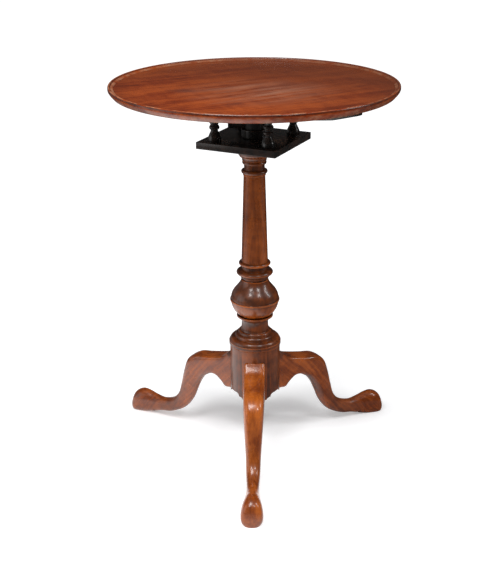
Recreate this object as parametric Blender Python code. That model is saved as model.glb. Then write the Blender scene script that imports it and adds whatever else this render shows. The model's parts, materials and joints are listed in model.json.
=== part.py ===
"""Tilt-top table on a turned pillar: three cabriole legs, a swivelling cage and a dished round top.

Metres, +Z up, floor at z = 0. The pillar stands on the axis of the empty "table_frame".
"""

import math

import bmesh
import bpy
from mathutils import Matrix, Vector
from mathutils.geometry import interpolate_bezier

# Gaps between pieces
SEAT = 0.0003            # between two pieces that bear on each other
FIT = 0.0003             # round a pin, tenon or tongue in its hole
SWING = 0.0005           # at each side of the cage, between the cleats

# Round top
TOP_RADIUS = 0.2561
TOP_THICKNESS = 0.0155
TOP_EDGE_BAND = 0.0040   # upright part of the edge, under the crest
TOP_EDGE_RUN = 0.0131    # how far the rounded lower edge runs in
RIM_CREST = 0.0040       # width of the crest of the rim
RIM_CREST_EDGE = 0.0010  # softened edge at each side of the crest
RIM_SLOPE = 0.0055       # width of the hollow inside the crest
RIM_SLOPE_DROP = 0.0030
RIM_STEP = 0.0008        # small fillet below the hollow
RIM_COVE = 0.0080        # width of the shallow cove that runs into the dish
RIM_COVE_DROP = 0.0012

# Cage: two plates held apart by four balusters
CAGE_YAW = math.radians(-24.75)
CAGE_SIZE = 0.1544
PLATE_THICKNESS = 0.0128
PLATE_EDGE = 0.0008       # softened edges of the lower plate
BLOCK_THICKNESS = 0.0240
BALUSTER_HEIGHT = 0.0571
BALUSTER_SPREAD = 0.1050  # between the centres of neighbouring balusters
BALUSTER_FOOT = (0.0030, 0.0120)         # height, radius; each end is the same
BALUSTER_BELL_HEIGHT = 0.0154
BALUSTER_BELL_PULLS = ((0.0112, 0.36), (0.0078, 0.66))  # radius and share of the rise of each handle
BALUSTER_WAIST = (0.0012, 0.0062)
BALUSTER_RING_FOOT = 0.0066
BALUSTER_RING = (0.0075, 0.0092)
BALUSTER_REEL_RADIUS = 0.0071
TENON_RADIUS = 0.0050
TENON_LENGTH = 0.0080
TENON_END_ROOM = 0.0010
PINTLE_RADIUS = 0.0080
PINTLE_LENGTH = 0.0170
COLLAR_RADIUS = 0.0235
COLLAR_HEIGHT = 0.0160
COLLAR_ROUND = 0.0020
WEDGE_WIDTH = 0.0090
WEDGE_THIN = 0.0100
WEDGE_THICK = 0.0140
WEDGE_LEFT = 0.0470       # reach of the thick end from the pillar axis
WEDGE_RIGHT = 0.0315      # reach of the thin end

# Cleats under the top
CLEAT_WIDTH = 0.0220
CLEAT_DEPTH = 0.0240
CLEAT_HALF_LENGTH = 0.2320
CLEAT_FLAT = 0.0900       # from the middle to where the underside starts to rise
CLEAT_NOSE = 0.0450       # length of the steeper end
CLEAT_BOW = 0.0660        # length over which the outer face curves in to the end
CLEAT_NOSE_DEPTH = 0.0142
CLEAT_TIP_DEPTH = 0.0035
CLEAT_TIP_WIDTH = 0.0070
CLEAT_ROUND = 0.0070      # on the lower outer edge
CLEAT_ROUND_LIMIT = 0.9   # most of the depth or width that the round may take
CLEAT_SCREW_INSET = 0.0820   # from a cleat's end to its end screw
CLEAT_SCREW_MIDDLE = 0.0400  # of the middle screw, from the middle of the cleat
CLEAT_SCREW_RADIUS = 0.0021
CLEAT_SCREW_HEAD = 0.0042
CLEAT_SCREW_HEAD_HEIGHT = 0.0030
CLEAT_SCREW_SINK = 0.0040
CLEAT_SCREW_BITE = 0.0060  # how far the point goes into the top

# Catch that locks the top down, opposite the pintles
CATCH_PLATE_LENGTH = 0.0460
CATCH_PLATE_WIDTH = 0.0300
CATCH_PLATE_THICKNESS = 0.0022
CATCH_BOX_LENGTH = 0.0240
CATCH_BOX_WIDTH = 0.0140
CATCH_BOX_HEIGHT = 0.0150  # from the underside of the top
CATCH_GAP = 0.0080        # from the keeper's face to the catch plate
BOLT_RADIUS = 0.0035
BOLT_DROP = 0.0092        # from the underside of the top to the bolt's axis
BOLT_CHAMFER = 0.0009
BOLT_THROW = 0.0090
BOLT_END_ROOM = 0.0010
BOLT_STANDOFF = 0.0020    # from the keeper's face to the drawn bolt
BOLT_TAIL = 0.0130        # from the box to the knob when drawn
KNOB_RADIUS = 0.0062
KNOB_LENGTH = 0.0100
CATCH_SCREW_RADIUS = 0.0015
CATCH_SCREW_HEAD = 0.0028
CATCH_SCREW_HEAD_HEIGHT = 0.0012
CATCH_SCREW_BITE = 0.0060
CATCH_SCREW_INSET = 0.0050  # from the plate's edges
KEEPER_WIDTH = 0.0340
KEEPER_HEIGHT = 0.0150
KEEPER_THICKNESS = 0.0015
KEEPER_SCREW_SPREAD = 0.0230
KEEPER_SCREW_LENGTH = 0.0120

# Turned pillar, from the hub upwards
HUB_UNDERSIDE = 0.1159
HUB_RADIUS = 0.0477
HUB_HEIGHT = 0.1024
HUB_GROOVE = (0.0012, 0.0464)            # height, radius
BASE_FILLET = (0.0069, 0.0493)
REED_LOW = (0.0084, 0.0481, 0.0396)      # height, lower and upper radius
REED_MIDDLE = (0.0069, 0.0384, 0.0334)
REED_HIGH = (0.0055, 0.0322, 0.0289)
FOOT_NECK_RADIUS = 0.0252
FOOT_NECK_LOW = (0.0159, 0.0279)         # height and radius of the cove under the neck
FOOT_NECK_HIGH = (0.0128, 0.0332)        # of the cove over it
BALL_FOOT = (0.0030, 0.0345)
BALL_GROOVE = (0.0019, 0.0277)
BALL_LOW = (0.0279, 0.0308, 0.0456)
BALL_LOW_PULLS = ((0.0390, 0.22), (0.0440, 0.58))   # radius and share of the rise of each handle
BALL_BELT = (0.0030, 0.0468)
BALL_HIGH = (0.0395, 0.0451, 0.0255)
BALL_HIGH_PULLS = ((0.0455, 0.49), (0.0290, 0.61))
BALL_NECK = (0.0041, 0.0233)
TORUS_FILLET = (0.0039, 0.0268)
TORUS_BIG = (0.0120, 0.0235, 0.0344)     # height, foot and crest radius
TORUS_GROOVE = (0.0075, 0.0244)
TORUS_SMALL = (0.0086, 0.0225, 0.0299)
SHAFT = (0.1654, 0.0249, 0.0198)
SHAFT_FILLET = (0.0035, 0.0208)
ASTRAGAL = (0.0075, 0.0199, 0.0241)
NECKING = (0.0095, 0.0188)
CAPITAL_RING = (0.0071, 0.0190, 0.0222)
CAPITAL_COVE = (0.0075, 0.0223, 0.0263)
CAPITAL_FILLET = (0.0025, 0.0270)
CAPITAL_BELL = (0.0131, 0.0273, 0.0316)
ABACUS = (0.0060, 0.0322)
POST_RADIUS = 0.0165
POST_END = 0.0100         # how far the post stands in the block
POST_END_ROOM = 0.0010
SCALLOP_RISE = 0.0110     # arches in the hub's lower edge, between the legs
SCALLOP_STEP_RISE = 0.0045
SCALLOP_HALF_WIDTH = 0.0245
SCALLOP_STEP = 0.0165
SCALLOP_INNER = 0.0300    # distance of the arch's end from the axis

# Cabriole legs
LEG_AZIMUTHS = {"leg_front": -90.0, "leg_rear_right": 30.0, "leg_rear_left": 150.0}
FOOT_REACH = 0.3000
LEG_ROOT_WIDTH = 0.0405
LEG_ROOT_TOP = 0.1957
LEG_ROOT_SQUARE = 10.0
LEG_SADDLE_SPARE = 0.0100  # wood inside the hub's surface before the saddle is cut
DOVETAIL_DEPTH = 0.0160
DOVETAIL_NECK = 0.0140
DOVETAIL_TAIL = 0.0200
DOVETAIL_TOP = 0.1775
DOVETAIL_ROOT = 0.0060    # how far the tongue runs into the leg
SOLE_CUT = 0.0050         # the round of the foot that the flat sole cuts away
HEEL_RISE = 0.0030        # height of the foot's underside behind the sole
TOE_BREAK = 0.0078        # how far behind the toe its slope starts
TOE_SLOPE = 0.0020        # how far behind the toe its slope ends
# Upper edge (reach, height), lower edge (reach, height), width, squareness of the section
LEG_PATTERN = (
    (0.0547, 0.1880, 0.0588, HUB_UNDERSIDE, LEG_ROOT_WIDTH, LEG_ROOT_SQUARE),
    (0.0668, 0.1787, 0.0665, 0.1237, 0.0403, 9.0),
    (0.0861, 0.1735, 0.0797, 0.1338, 0.0398, 8.0),
    (0.1095, 0.1692, 0.0927, 0.1341, 0.0393, 6.0),
    (0.1328, 0.1652, 0.1055, 0.1271, 0.0387, 4.2),
    (0.1524, 0.1507, 0.1173, 0.1176, 0.0376, 3.2),
    (0.1625, 0.1257, 0.1289, 0.1018, 0.0355, 2.8),
    (0.1702, 0.0970, 0.1382, 0.0817, 0.0324, 2.6),
    (0.1797, 0.0666, 0.1491, 0.0559, 0.0287, 2.5),
    (0.1972, 0.0474, 0.1678, 0.0325, 0.0268, 2.4),
    (0.2228, 0.0388, 0.1988, 0.0154, 0.0238, 2.3),
    (0.2440, 0.0415, 0.2250, 0.0092, 0.0254, 2.2),
    (0.2640, 0.0461, 0.2440, HEEL_RISE, 0.0308, 2.2),
    (0.2790, 0.0458, 0.2620, -SOLE_CUT / 2, 0.0372, 2.2),
    (FOOT_REACH - TOE_BREAK, 0.0372, 0.2760, -SOLE_CUT, 0.0404, 2.2),
    (FOOT_REACH - TOE_SLOPE, 0.0205, 0.2865, -SOLE_CUT, 0.0370, 2.2),
    (FOOT_REACH, 0.0070, 0.2940, -SOLE_CUT, 0.0220, 2.1),
    (FOOT_REACH, 0.0020, 0.2978, -SOLE_CUT, 0.0070, 2.0),
)

# Iron brace under the hub
BRACE_THICKNESS = 0.0025
BRACE_DISC_RADIUS = 0.0240
BRACE_ARM_WIDTH = 0.0160
BRACE_ARM_REACH = 0.0620
NAIL_REACH = 0.0535
NAIL_RADIUS = 0.0016
NAIL_HEAD_RADIUS = 0.0034
NAIL_HEAD_HEIGHT = 0.0012
NAIL_LENGTH = 0.0150
CENTRE_SCREW_RADIUS = 0.0025
CENTRE_SCREW_HEAD = 0.0050
CENTRE_SCREW_LENGTH = 0.0220

# Facets
PILLAR_FACETS = 30
TOP_FACETS = 64
BALUSTER_FACETS = 12
PIN_FACETS = 20
SMALL_FACETS = 8
LEG_RING_POINTS = 12
LEG_SPAN_STEPS = 2
SMOOTH_ANGLE = math.radians(40)

# The mouldings inside the crest add up to the depth of the dish.
DISH_DEPTH = RIM_CREST_EDGE + RIM_SLOPE_DROP + RIM_STEP + RIM_COVE_DROP

# The end screws keep their distance from the cleat's ends.
CLEAT_SCREW_END = CLEAT_HALF_LENGTH - CLEAT_SCREW_INSET
CLEAT_SCREW_SPREAD = (-CLEAT_SCREW_END, CLEAT_SCREW_MIDDLE, CLEAT_SCREW_END)

# The front foot reaches further than the top's back edge, so the axis stands behind the middle.
AXIS_Y = (FOOT_REACH - TOP_RADIUS) / 2


class Turning:
    """A turned outline that grows upwards, as (radius, height) points."""

    def __init__(self, base):
        self.height = base
        self.points = []

    def step(self, radius):
        self.points.append((radius, self.height))

    def straight(self, rise, radius):
        self.height += rise
        self.step(radius)

    def fillet(self, rise, radius):
        self.step(radius)
        self.straight(rise, radius)

    def taper(self, rise, low_radius, high_radius):
        self.step(low_radius)
        self.straight(rise, high_radius)

    def quarter(self, rise, low_radius, high_radius, steps, upright_at_foot):
        """Quarter of an ellipse, upright at its foot or at its head."""
        base = self.height
        for index in range(steps + 1):
            turn = index / steps * math.pi / 2
            if upright_at_foot:
                radius = high_radius + (low_radius - high_radius) * math.cos(turn)
                height = base + rise * math.sin(turn)
            else:
                radius = low_radius + (high_radius - low_radius) * math.sin(turn)
                height = base + rise * (1 - math.cos(turn))
            self.points.append((radius, height))
        self.height = base + rise

    def bead(self, rise, foot_radius, crest_radius, steps):
        """Half of an ellipse that swells out from the foot radius."""
        base = self.height
        for index in range(steps + 1):
            turn = index / steps * math.pi
            radius = foot_radius + (crest_radius - foot_radius) * math.sin(turn)
            self.points.append((radius, base + rise / 2 * (1 - math.cos(turn))))
        self.height = base + rise

    def sweep(self, rise, low_radius, high_radius, low_pull, high_pull, steps):
        """A free curve; each pull is (radius, share of the rise) of a handle."""
        base = self.height
        handles = [
            (low_radius, base),
            (low_pull[0], base + rise * low_pull[1]),
            (high_pull[0], base + rise * high_pull[1]),
            (high_radius, base + rise),
        ]
        corners = [Vector((radius, 0.0, height)) for radius, height in handles]
        for point in interpolate_bezier(*corners, steps + 1):
            self.points.append((point.x, point.z))
        self.height = base + rise


def clear_scene():
    for obj in list(bpy.data.objects):
        bpy.data.objects.remove(obj, do_unlink=True)


def make_material(name, colour, roughness, metallic=0.0):
    material = bpy.data.materials.new(name)
    material.use_nodes = True
    shader = material.node_tree.nodes["Principled BSDF"]
    shader.inputs["Base Color"].default_value = (*colour, 1.0)
    shader.inputs["Roughness"].default_value = roughness
    shader.inputs["Metallic"].default_value = metallic
    return material


def make_empty(name, parent=None, location=(0, 0, 0), turn=(0, 0, 0)):
    empty = bpy.data.objects.new(name, None)
    bpy.context.scene.collection.objects.link(empty)
    empty.parent = parent
    empty.location = location
    empty.rotation_euler = turn
    return empty


def make_object(name, bm, material, parent, location=(0, 0, 0), turn=(0, 0, 0)):
    bmesh.ops.recalc_face_normals(bm, faces=bm.faces)
    mesh = bpy.data.meshes.new(name)
    bm.to_mesh(mesh)
    bm.free()
    mesh.shade_smooth()
    mesh.set_sharp_from_angle(angle=SMOOTH_ANGLE)
    obj = bpy.data.objects.new(name, mesh)
    bpy.context.scene.collection.objects.link(obj)
    obj.parent = parent
    obj.location = location
    obj.rotation_euler = turn
    if material:
        mesh.materials.append(material)
    return obj


def make_cutter(name, bm, parent, location=(0, 0, 0), turn=(0, 0, 0)):
    cutter = make_object(name, bm, None, parent, location, turn)
    cutter.hide_render = True
    cutter.display_type = "WIRE"
    return cutter


def add_boolean(target, cutter, operation="DIFFERENCE"):
    modifier = target.modifiers.new(f"{operation.lower()}_{cutter.name}", "BOOLEAN")
    modifier.operation = operation
    modifier.solver = "EXACT"
    modifier.object = cutter


def spun(points, facets):
    """A closed turned body about Z from an outline whose ends may lie off the axis."""
    outline = list(points)
    if outline[0][0] > 0:
        outline.insert(0, (0.0, outline[0][1]))
    if outline[-1][0] > 0:
        outline.append((0.0, outline[-1][1]))
    bm = bmesh.new()
    verts = [bm.verts.new((radius, 0.0, height)) for radius, height in outline]
    edges = [bm.edges.new(pair) for pair in zip(verts, verts[1:])]
    bmesh.ops.spin(
        bm, geom=verts + edges, cent=(0, 0, 0), axis=(0, 0, 1), angle=math.tau, steps=facets,
        use_merge=True,
    )
    bmesh.ops.remove_doubles(bm, verts=bm.verts, dist=1e-6)
    return bm


def extruded(outline, rise):
    """A prism that stands on a flat outline of (x, y) points at z = 0."""
    bm = bmesh.new()
    face = bm.faces.new([bm.verts.new((x, y, 0.0)) for x, y in outline])
    raised = bmesh.ops.extrude_face_region(bm, geom=[face])
    moved = [item for item in raised["geom"] if isinstance(item, bmesh.types.BMVert)]
    bmesh.ops.translate(bm, verts=moved, vec=(0, 0, rise))
    return bm


def box(low, high, edge_round=0.0):
    bm = bmesh.new()
    bmesh.ops.create_cube(bm, size=1.0)
    size = Vector(high) - Vector(low)
    bmesh.ops.scale(bm, vec=size, verts=bm.verts)
    bmesh.ops.translate(bm, vec=Vector(low) + size / 2, verts=bm.verts)
    if edge_round:
        bmesh.ops.bevel(
            bm, geom=bm.edges[:], offset=edge_round, segments=1, affect="EDGES", profile=0.5,
            material=-1,
        )
    return bm


def add_rod(bm, radius, start, end, facets):
    """Adds a closed round rod between two points to a mesh."""
    start = Vector(start)
    run = Vector(end) - start
    place = Matrix.Translation(start + run / 2) @ run.to_track_quat("Z", "Y").to_matrix().to_4x4()
    bmesh.ops.create_cone(
        bm, cap_ends=True, segments=facets, radius1=radius, radius2=radius, depth=run.length,
        matrix=place,
    )


def drill(target, holes, facets):
    """Cuts round holes, each (radius, start, end) in the target's own space, in one go."""
    bm = bmesh.new()
    for radius, start, end in holes:
        add_rod(bm, radius, start, end, facets)
    cutter = make_cutter(
        f"{target.name}_drill", bm, target.parent, target.location, target.rotation_euler
    )
    add_boolean(target, cutter)


def screw_outline(head_radius, head_height, radius, length):
    """Outline of a screw or nail that points up, its head's flat side at z = 0."""
    point = radius
    return [
        (head_radius, 0.0),
        (head_radius, head_height / 2),
        (radius, head_height),
        (radius, length - point),
        (0.0, length),
    ]


def pillar_turning():
    turning = Turning(HUB_UNDERSIDE)
    turning.fillet(HUB_HEIGHT, HUB_RADIUS)
    turning.fillet(*HUB_GROOVE)
    turning.fillet(*BASE_FILLET)
    turning.quarter(*REED_LOW, steps=4, upright_at_foot=True)
    turning.quarter(*REED_MIDDLE, steps=3, upright_at_foot=True)
    turning.quarter(*REED_HIGH, steps=3, upright_at_foot=True)
    low_rise, low_radius = FOOT_NECK_LOW
    turning.quarter(low_rise, low_radius, FOOT_NECK_RADIUS, steps=3, upright_at_foot=False)
    high_rise, high_radius = FOOT_NECK_HIGH
    turning.quarter(high_rise, FOOT_NECK_RADIUS, high_radius, steps=4, upright_at_foot=True)
    turning.fillet(*BALL_FOOT)
    turning.fillet(*BALL_GROOVE)
    turning.sweep(*BALL_LOW, *BALL_LOW_PULLS, steps=6)
    turning.fillet(*BALL_BELT)
    turning.sweep(*BALL_HIGH, *BALL_HIGH_PULLS, steps=7)
    turning.fillet(*BALL_NECK)
    turning.fillet(*TORUS_FILLET)
    turning.bead(*TORUS_BIG, steps=6)
    turning.fillet(*TORUS_GROOVE)
    turning.bead(*TORUS_SMALL, steps=5)
    turning.taper(*SHAFT)
    turning.fillet(*SHAFT_FILLET)
    turning.bead(*ASTRAGAL, steps=4)
    turning.fillet(*NECKING)
    turning.bead(*CAPITAL_RING, steps=4)
    turning.quarter(*CAPITAL_COVE, steps=3, upright_at_foot=True)
    turning.fillet(*CAPITAL_FILLET)
    turning.quarter(*CAPITAL_BELL, steps=4, upright_at_foot=False)
    turning.fillet(*ABACUS)
    return turning


class Levels:
    """Heights that the pieces above the pillar's shoulder share."""

    def __init__(self, shoulder):
        self.shoulder = shoulder
        self.plate = shoulder + SEAT
        self.plate_top = self.plate + PLATE_THICKNESS
        self.collar = self.plate_top + SEAT
        self.wedge = self.collar + COLLAR_HEIGHT + SEAT
        self.baluster = self.plate_top + SEAT
        self.block = self.baluster + BALUSTER_HEIGHT + SEAT
        self.pintle = self.block + BLOCK_THICKNESS / 2
        self.underside = self.block + BLOCK_THICKNESS + SEAT
        self.post_top = self.block + POST_END
        self.hinge_x = -CAGE_SIZE / 2 + BLOCK_THICKNESS / 2
        self.cleat_inner = CAGE_SIZE / 2 + SWING
        self.keeper_face = CAGE_SIZE / 2 + SEAT + KEEPER_THICKNESS
        self.bolt = self.underside - BOLT_DROP


def build_pillar(turning, levels, wood, frame):
    turning.step(POST_RADIUS)
    turning.straight(levels.post_top - levels.shoulder, POST_RADIUS)
    pillar = make_object("pillar", spun(turning.points, PILLAR_FACETS), wood, frame)
    for name, azimuth in LEG_AZIMUTHS.items():
        slot = extruded(dovetail_outline(FIT), DOVETAIL_TOP + FIT)
        turn = (0, 0, math.radians(azimuth))
        add_boolean(pillar, make_cutter(f"{name}_slot", slot, frame, (0, 0, 0), turn))
        bay = math.radians(azimuth + 60)
        arch = extruded(scallop_outline(), -HUB_RADIUS)
        place = (SCALLOP_INNER * math.cos(bay), SCALLOP_INNER * math.sin(bay), HUB_UNDERSIDE)
        facing = (math.radians(90), 0, bay - math.radians(90))
        add_boolean(pillar, make_cutter(f"{name}_scallop", arch, frame, place, facing))
    mortise_top = levels.wedge + WEDGE_THICK + SEAT
    half = WEDGE_WIDTH / 2 + FIT
    reach = POST_RADIUS * 2
    slot = box((-reach, -half, levels.collar + COLLAR_HEIGHT), (reach, half, mortise_top))
    add_boolean(pillar, make_cutter("wedge_mortise", slot, frame))
    hole_end = HUB_UNDERSIDE + CENTRE_SCREW_LENGTH
    drill(
        pillar,
        [(CENTRE_SCREW_RADIUS + FIT, (0, 0, HUB_UNDERSIDE - SEAT), (0, 0, hole_end))],
        SMALL_FACETS,
    )


def dovetail_outline(clearance):
    """Plan of a leg's sliding tongue, which widens into the hub; x runs out along the leg."""
    neck = DOVETAIL_NECK / 2 + clearance
    tail = DOVETAIL_TAIL / 2 + clearance
    deep = HUB_RADIUS - DOVETAIL_DEPTH - clearance
    past = HUB_RADIUS + DOVETAIL_ROOT
    side = [(deep, tail), (HUB_RADIUS, neck), (past, neck)]
    return [(x, -y) for x, y in side] + side[::-1]


def scallop_outline():
    """Front view of one arch in the hub's lower edge: two rounded steps up to a flat crown."""
    steps = 4
    side = []
    for index in range(steps + 1):
        turn = index / steps * math.pi / 2
        wide = SCALLOP_HALF_WIDTH - (SCALLOP_HALF_WIDTH - SCALLOP_STEP) * (1 - math.cos(turn))
        side.append((wide, SCALLOP_STEP_RISE * math.sin(turn)))
    for index in range(1, steps + 1):
        turn = index / steps * math.pi / 2
        rise = SCALLOP_RISE - SCALLOP_STEP_RISE
        wide = SCALLOP_STEP - rise * (1 - math.cos(turn))
        side.append((wide, SCALLOP_STEP_RISE + rise * math.sin(turn)))
    below = -SCALLOP_STEP_RISE
    side.insert(0, (SCALLOP_HALF_WIDTH, below))
    return side + [(-wide, height) for wide, height in reversed(side)]


def leg_rings():
    """Cross sections of a leg from the hub to the toe, each a list of points in the leg's frame."""
    root = HUB_RADIUS - LEG_SADDLE_SPARE
    section = (LEG_ROOT_WIDTH, LEG_ROOT_SQUARE)
    inner_top = LEG_ROOT_TOP + LEG_SADDLE_SPARE / 2
    stations = [
        Vector((root, inner_top, root, HUB_UNDERSIDE, *section)),
        Vector((HUB_RADIUS, LEG_ROOT_TOP, HUB_RADIUS, HUB_UNDERSIDE, *section)),
    ]
    stations += [Vector(row) for row in LEG_PATTERN]
    rings = []
    last = len(stations) - 1
    for index in range(last):
        before = stations[max(index - 1, 0)]
        start = stations[index]
        end = stations[index + 1]
        after = stations[min(index + 2, last)]
        for step in range(LEG_SPAN_STEPS):
            rings.append(leg_ring(blend_stations(before, start, end, after, step / LEG_SPAN_STEPS)))
    rings.append(leg_ring(stations[last]))
    return rings


def blend_stations(before, start, end, after, share):
    """Smooth curve through neighbouring stations."""
    square = share * share
    cube = square * share
    return 0.5 * (
        2 * start
        + (end - before) * share
        + (2 * before - 5 * start + 4 * end - after) * square
        + (3 * start - before - 3 * end + after) * cube
    )


def leg_ring(station):
    """One rounded section between an upper and a lower edge point."""
    upper = Vector((station[0], 0.0, station[1]))
    lower = Vector((station[2], 0.0, station[3]))
    middle = (upper + lower) / 2
    rise = (upper - lower) / 2
    half_width = station[4] / 2
    power = 2 / station[5]
    ring = []
    for index in range(LEG_RING_POINTS):
        turn = (index + 0.5) / LEG_RING_POINTS * math.tau
        across = math.copysign(abs(math.cos(turn)) ** power, math.cos(turn))
        along = math.copysign(abs(math.sin(turn)) ** power, math.sin(turn))
        ring.append(middle + rise * along + Vector((0, half_width * across, 0)))
    return ring


def leg_mesh():
    bm = bmesh.new()
    loops = []
    for ring in leg_rings():
        verts = [bm.verts.new(point) for point in ring]
        loops.append(verts)
    for low, high in zip(loops, loops[1:]):
        for index in range(LEG_RING_POINTS):
            follow = (index + 1) % LEG_RING_POINTS
            bm.faces.new((low[index], low[follow], high[follow], high[index]))
    bm.faces.new(loops[0])
    bm.faces.new(loops[-1])
    bmesh.ops.recalc_face_normals(bm, faces=bm.faces)
    floor = bmesh.ops.bisect_plane(
        bm, geom=bm.verts[:] + bm.edges[:] + bm.faces[:], dist=1e-7, plane_co=(0, 0, 0),
        plane_no=(0, 0, -1), clear_outer=True,
    )
    rim = [item for item in floor["geom_cut"] if isinstance(item, bmesh.types.BMEdge)]
    bmesh.ops.contextual_create(bm, geom=rim)
    return bm


def build_legs(wood, frame):
    for name, azimuth in LEG_AZIMUTHS.items():
        turn = (0, 0, math.radians(azimuth))
        leg = make_object(name, leg_mesh(), wood, frame, (0, 0, 0), turn)
        saddle = bmesh.new()
        bottom = HUB_UNDERSIDE - LEG_SADDLE_SPARE
        top = LEG_ROOT_TOP + 2 * LEG_SADDLE_SPARE
        add_rod(saddle, HUB_RADIUS + SEAT, (0, 0, bottom), (0, 0, top), PILLAR_FACETS)
        add_boolean(leg, make_cutter(f"{name}_saddle", saddle, frame))
        tongue = extruded(dovetail_outline(0.0), DOVETAIL_TOP - HUB_UNDERSIDE)
        place = (0, 0, HUB_UNDERSIDE)
        add_boolean(leg, make_cutter(f"{name}_tongue", tongue, frame, place, turn), "UNION")
        nail_top = HUB_UNDERSIDE - BRACE_THICKNESS + NAIL_LENGTH
        start = (NAIL_REACH, 0, HUB_UNDERSIDE - SEAT)
        drill(leg, [(NAIL_RADIUS + FIT, start, (NAIL_REACH, 0, nail_top))], SMALL_FACETS)


def brace_outline():
    """Plan of the three-armed brace: a disc that runs out along each leg."""
    half = BRACE_ARM_WIDTH / 2
    root = math.asin(half / BRACE_DISC_RADIUS)
    steps = 4
    outline = []
    for azimuth in sorted(LEG_AZIMUTHS.values()):
        along = math.radians(azimuth)
        start = along - math.radians(120) + root
        for index in range(steps):
            turn = start + (along - root - start) * index / steps
            outline.append((BRACE_DISC_RADIUS * math.cos(turn), BRACE_DISC_RADIUS * math.sin(turn)))
        arm_start = BRACE_DISC_RADIUS * math.cos(root)
        arm_end = BRACE_ARM_REACH - half
        arm = [(arm_start, -half), (arm_end, -half), (BRACE_ARM_REACH, 0.0), (arm_end, half)]
        for reach, side in arm:
            x = reach * math.cos(along) - side * math.sin(along)
            y = reach * math.sin(along) + side * math.cos(along)
            outline.append((x, y))
    return outline


def build_brace(iron, frame):
    bottom = HUB_UNDERSIDE - SEAT - BRACE_THICKNESS
    flat = extruded(brace_outline(), BRACE_THICKNESS)
    brace = make_object("hub_brace", flat, iron, frame, (0, 0, bottom))
    holes = [(CENTRE_SCREW_RADIUS + FIT, (0, 0, -BRACE_THICKNESS), (0, 0, 2 * BRACE_THICKNESS))]
    head = bottom - SEAT - NAIL_HEAD_HEIGHT
    nail = screw_outline(NAIL_HEAD_RADIUS, NAIL_HEAD_HEIGHT, NAIL_RADIUS, NAIL_LENGTH)
    for number, azimuth in enumerate(LEG_AZIMUTHS.values(), start=1):
        x = NAIL_REACH * math.cos(math.radians(azimuth))
        y = NAIL_REACH * math.sin(math.radians(azimuth))
        holes.append((NAIL_RADIUS + FIT, (x, y, -BRACE_THICKNESS), (x, y, 2 * BRACE_THICKNESS)))
        make_object(f"brace_nail_{number}", spun(nail, SMALL_FACETS), iron, frame, (x, y, head))
    drill(brace, holes, SMALL_FACETS)
    screw = screw_outline(
        CENTRE_SCREW_HEAD, NAIL_HEAD_HEIGHT, CENTRE_SCREW_RADIUS, CENTRE_SCREW_LENGTH
    )
    make_object("brace_centre_screw", spun(screw, SMALL_FACETS), iron, frame, (0, 0, head))


def build_collar_and_wedge(levels, black, frame):
    collar = Turning(levels.collar)
    collar.quarter(COLLAR_ROUND, COLLAR_RADIUS - COLLAR_ROUND, COLLAR_RADIUS, 2, False)
    collar.height += COLLAR_HEIGHT - 2 * COLLAR_ROUND
    collar.quarter(COLLAR_ROUND, COLLAR_RADIUS, COLLAR_RADIUS - COLLAR_ROUND, 2, True)
    ring = make_object("cage_collar", spun(collar.points, PILLAR_FACETS), black, frame)
    drill(
        ring,
        [(POST_RADIUS + FIT, (0, 0, levels.collar - SEAT), (0, 0, levels.wedge + SEAT))],
        PILLAR_FACETS,
    )
    outline = [
        (-WEDGE_LEFT, 0.0),
        (WEDGE_RIGHT, 0.0),
        (WEDGE_RIGHT, WEDGE_THIN),
        (-WEDGE_LEFT, WEDGE_THICK),
    ]
    bm = extruded(outline, WEDGE_WIDTH)
    turn = (math.radians(90), 0, 0)
    make_object("wedge_key", bm, black, frame, (0, WEDGE_WIDTH / 2, levels.wedge), turn)


def baluster_outline():
    """One cage baluster with a round tenon at each end, its foot at z = 0."""
    turning = Turning(-TENON_LENGTH)
    turning.fillet(TENON_LENGTH, TENON_RADIUS)
    foot_height, foot_radius = BALUSTER_FOOT
    waist_height, waist_radius = BALUSTER_WAIST
    ring_height, ring_radius = BALUSTER_RING
    low_pull, high_pull = BALUSTER_BELL_PULLS
    ends = foot_height + BALUSTER_BELL_HEIGHT + waist_height
    turning.fillet(foot_height, foot_radius)
    turning.sweep(BALUSTER_BELL_HEIGHT, foot_radius, waist_radius, low_pull, high_pull, 4)
    turning.straight(waist_height, waist_radius)
    turning.bead(ring_height, BALUSTER_RING_FOOT, ring_radius, 4)
    turning.fillet(BALUSTER_HEIGHT - 2 * ends - 2 * ring_height, BALUSTER_REEL_RADIUS)
    turning.bead(ring_height, BALUSTER_RING_FOOT, ring_radius, 4)
    turning.fillet(waist_height, waist_radius)
    upper_low = (high_pull[0], 1 - high_pull[1])
    upper_high = (low_pull[0], 1 - low_pull[1])
    turning.sweep(BALUSTER_BELL_HEIGHT, waist_radius, foot_radius, upper_low, upper_high, 4)
    turning.straight(foot_height, foot_radius)
    turning.fillet(TENON_LENGTH, TENON_RADIUS)
    return turning.points


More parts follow.
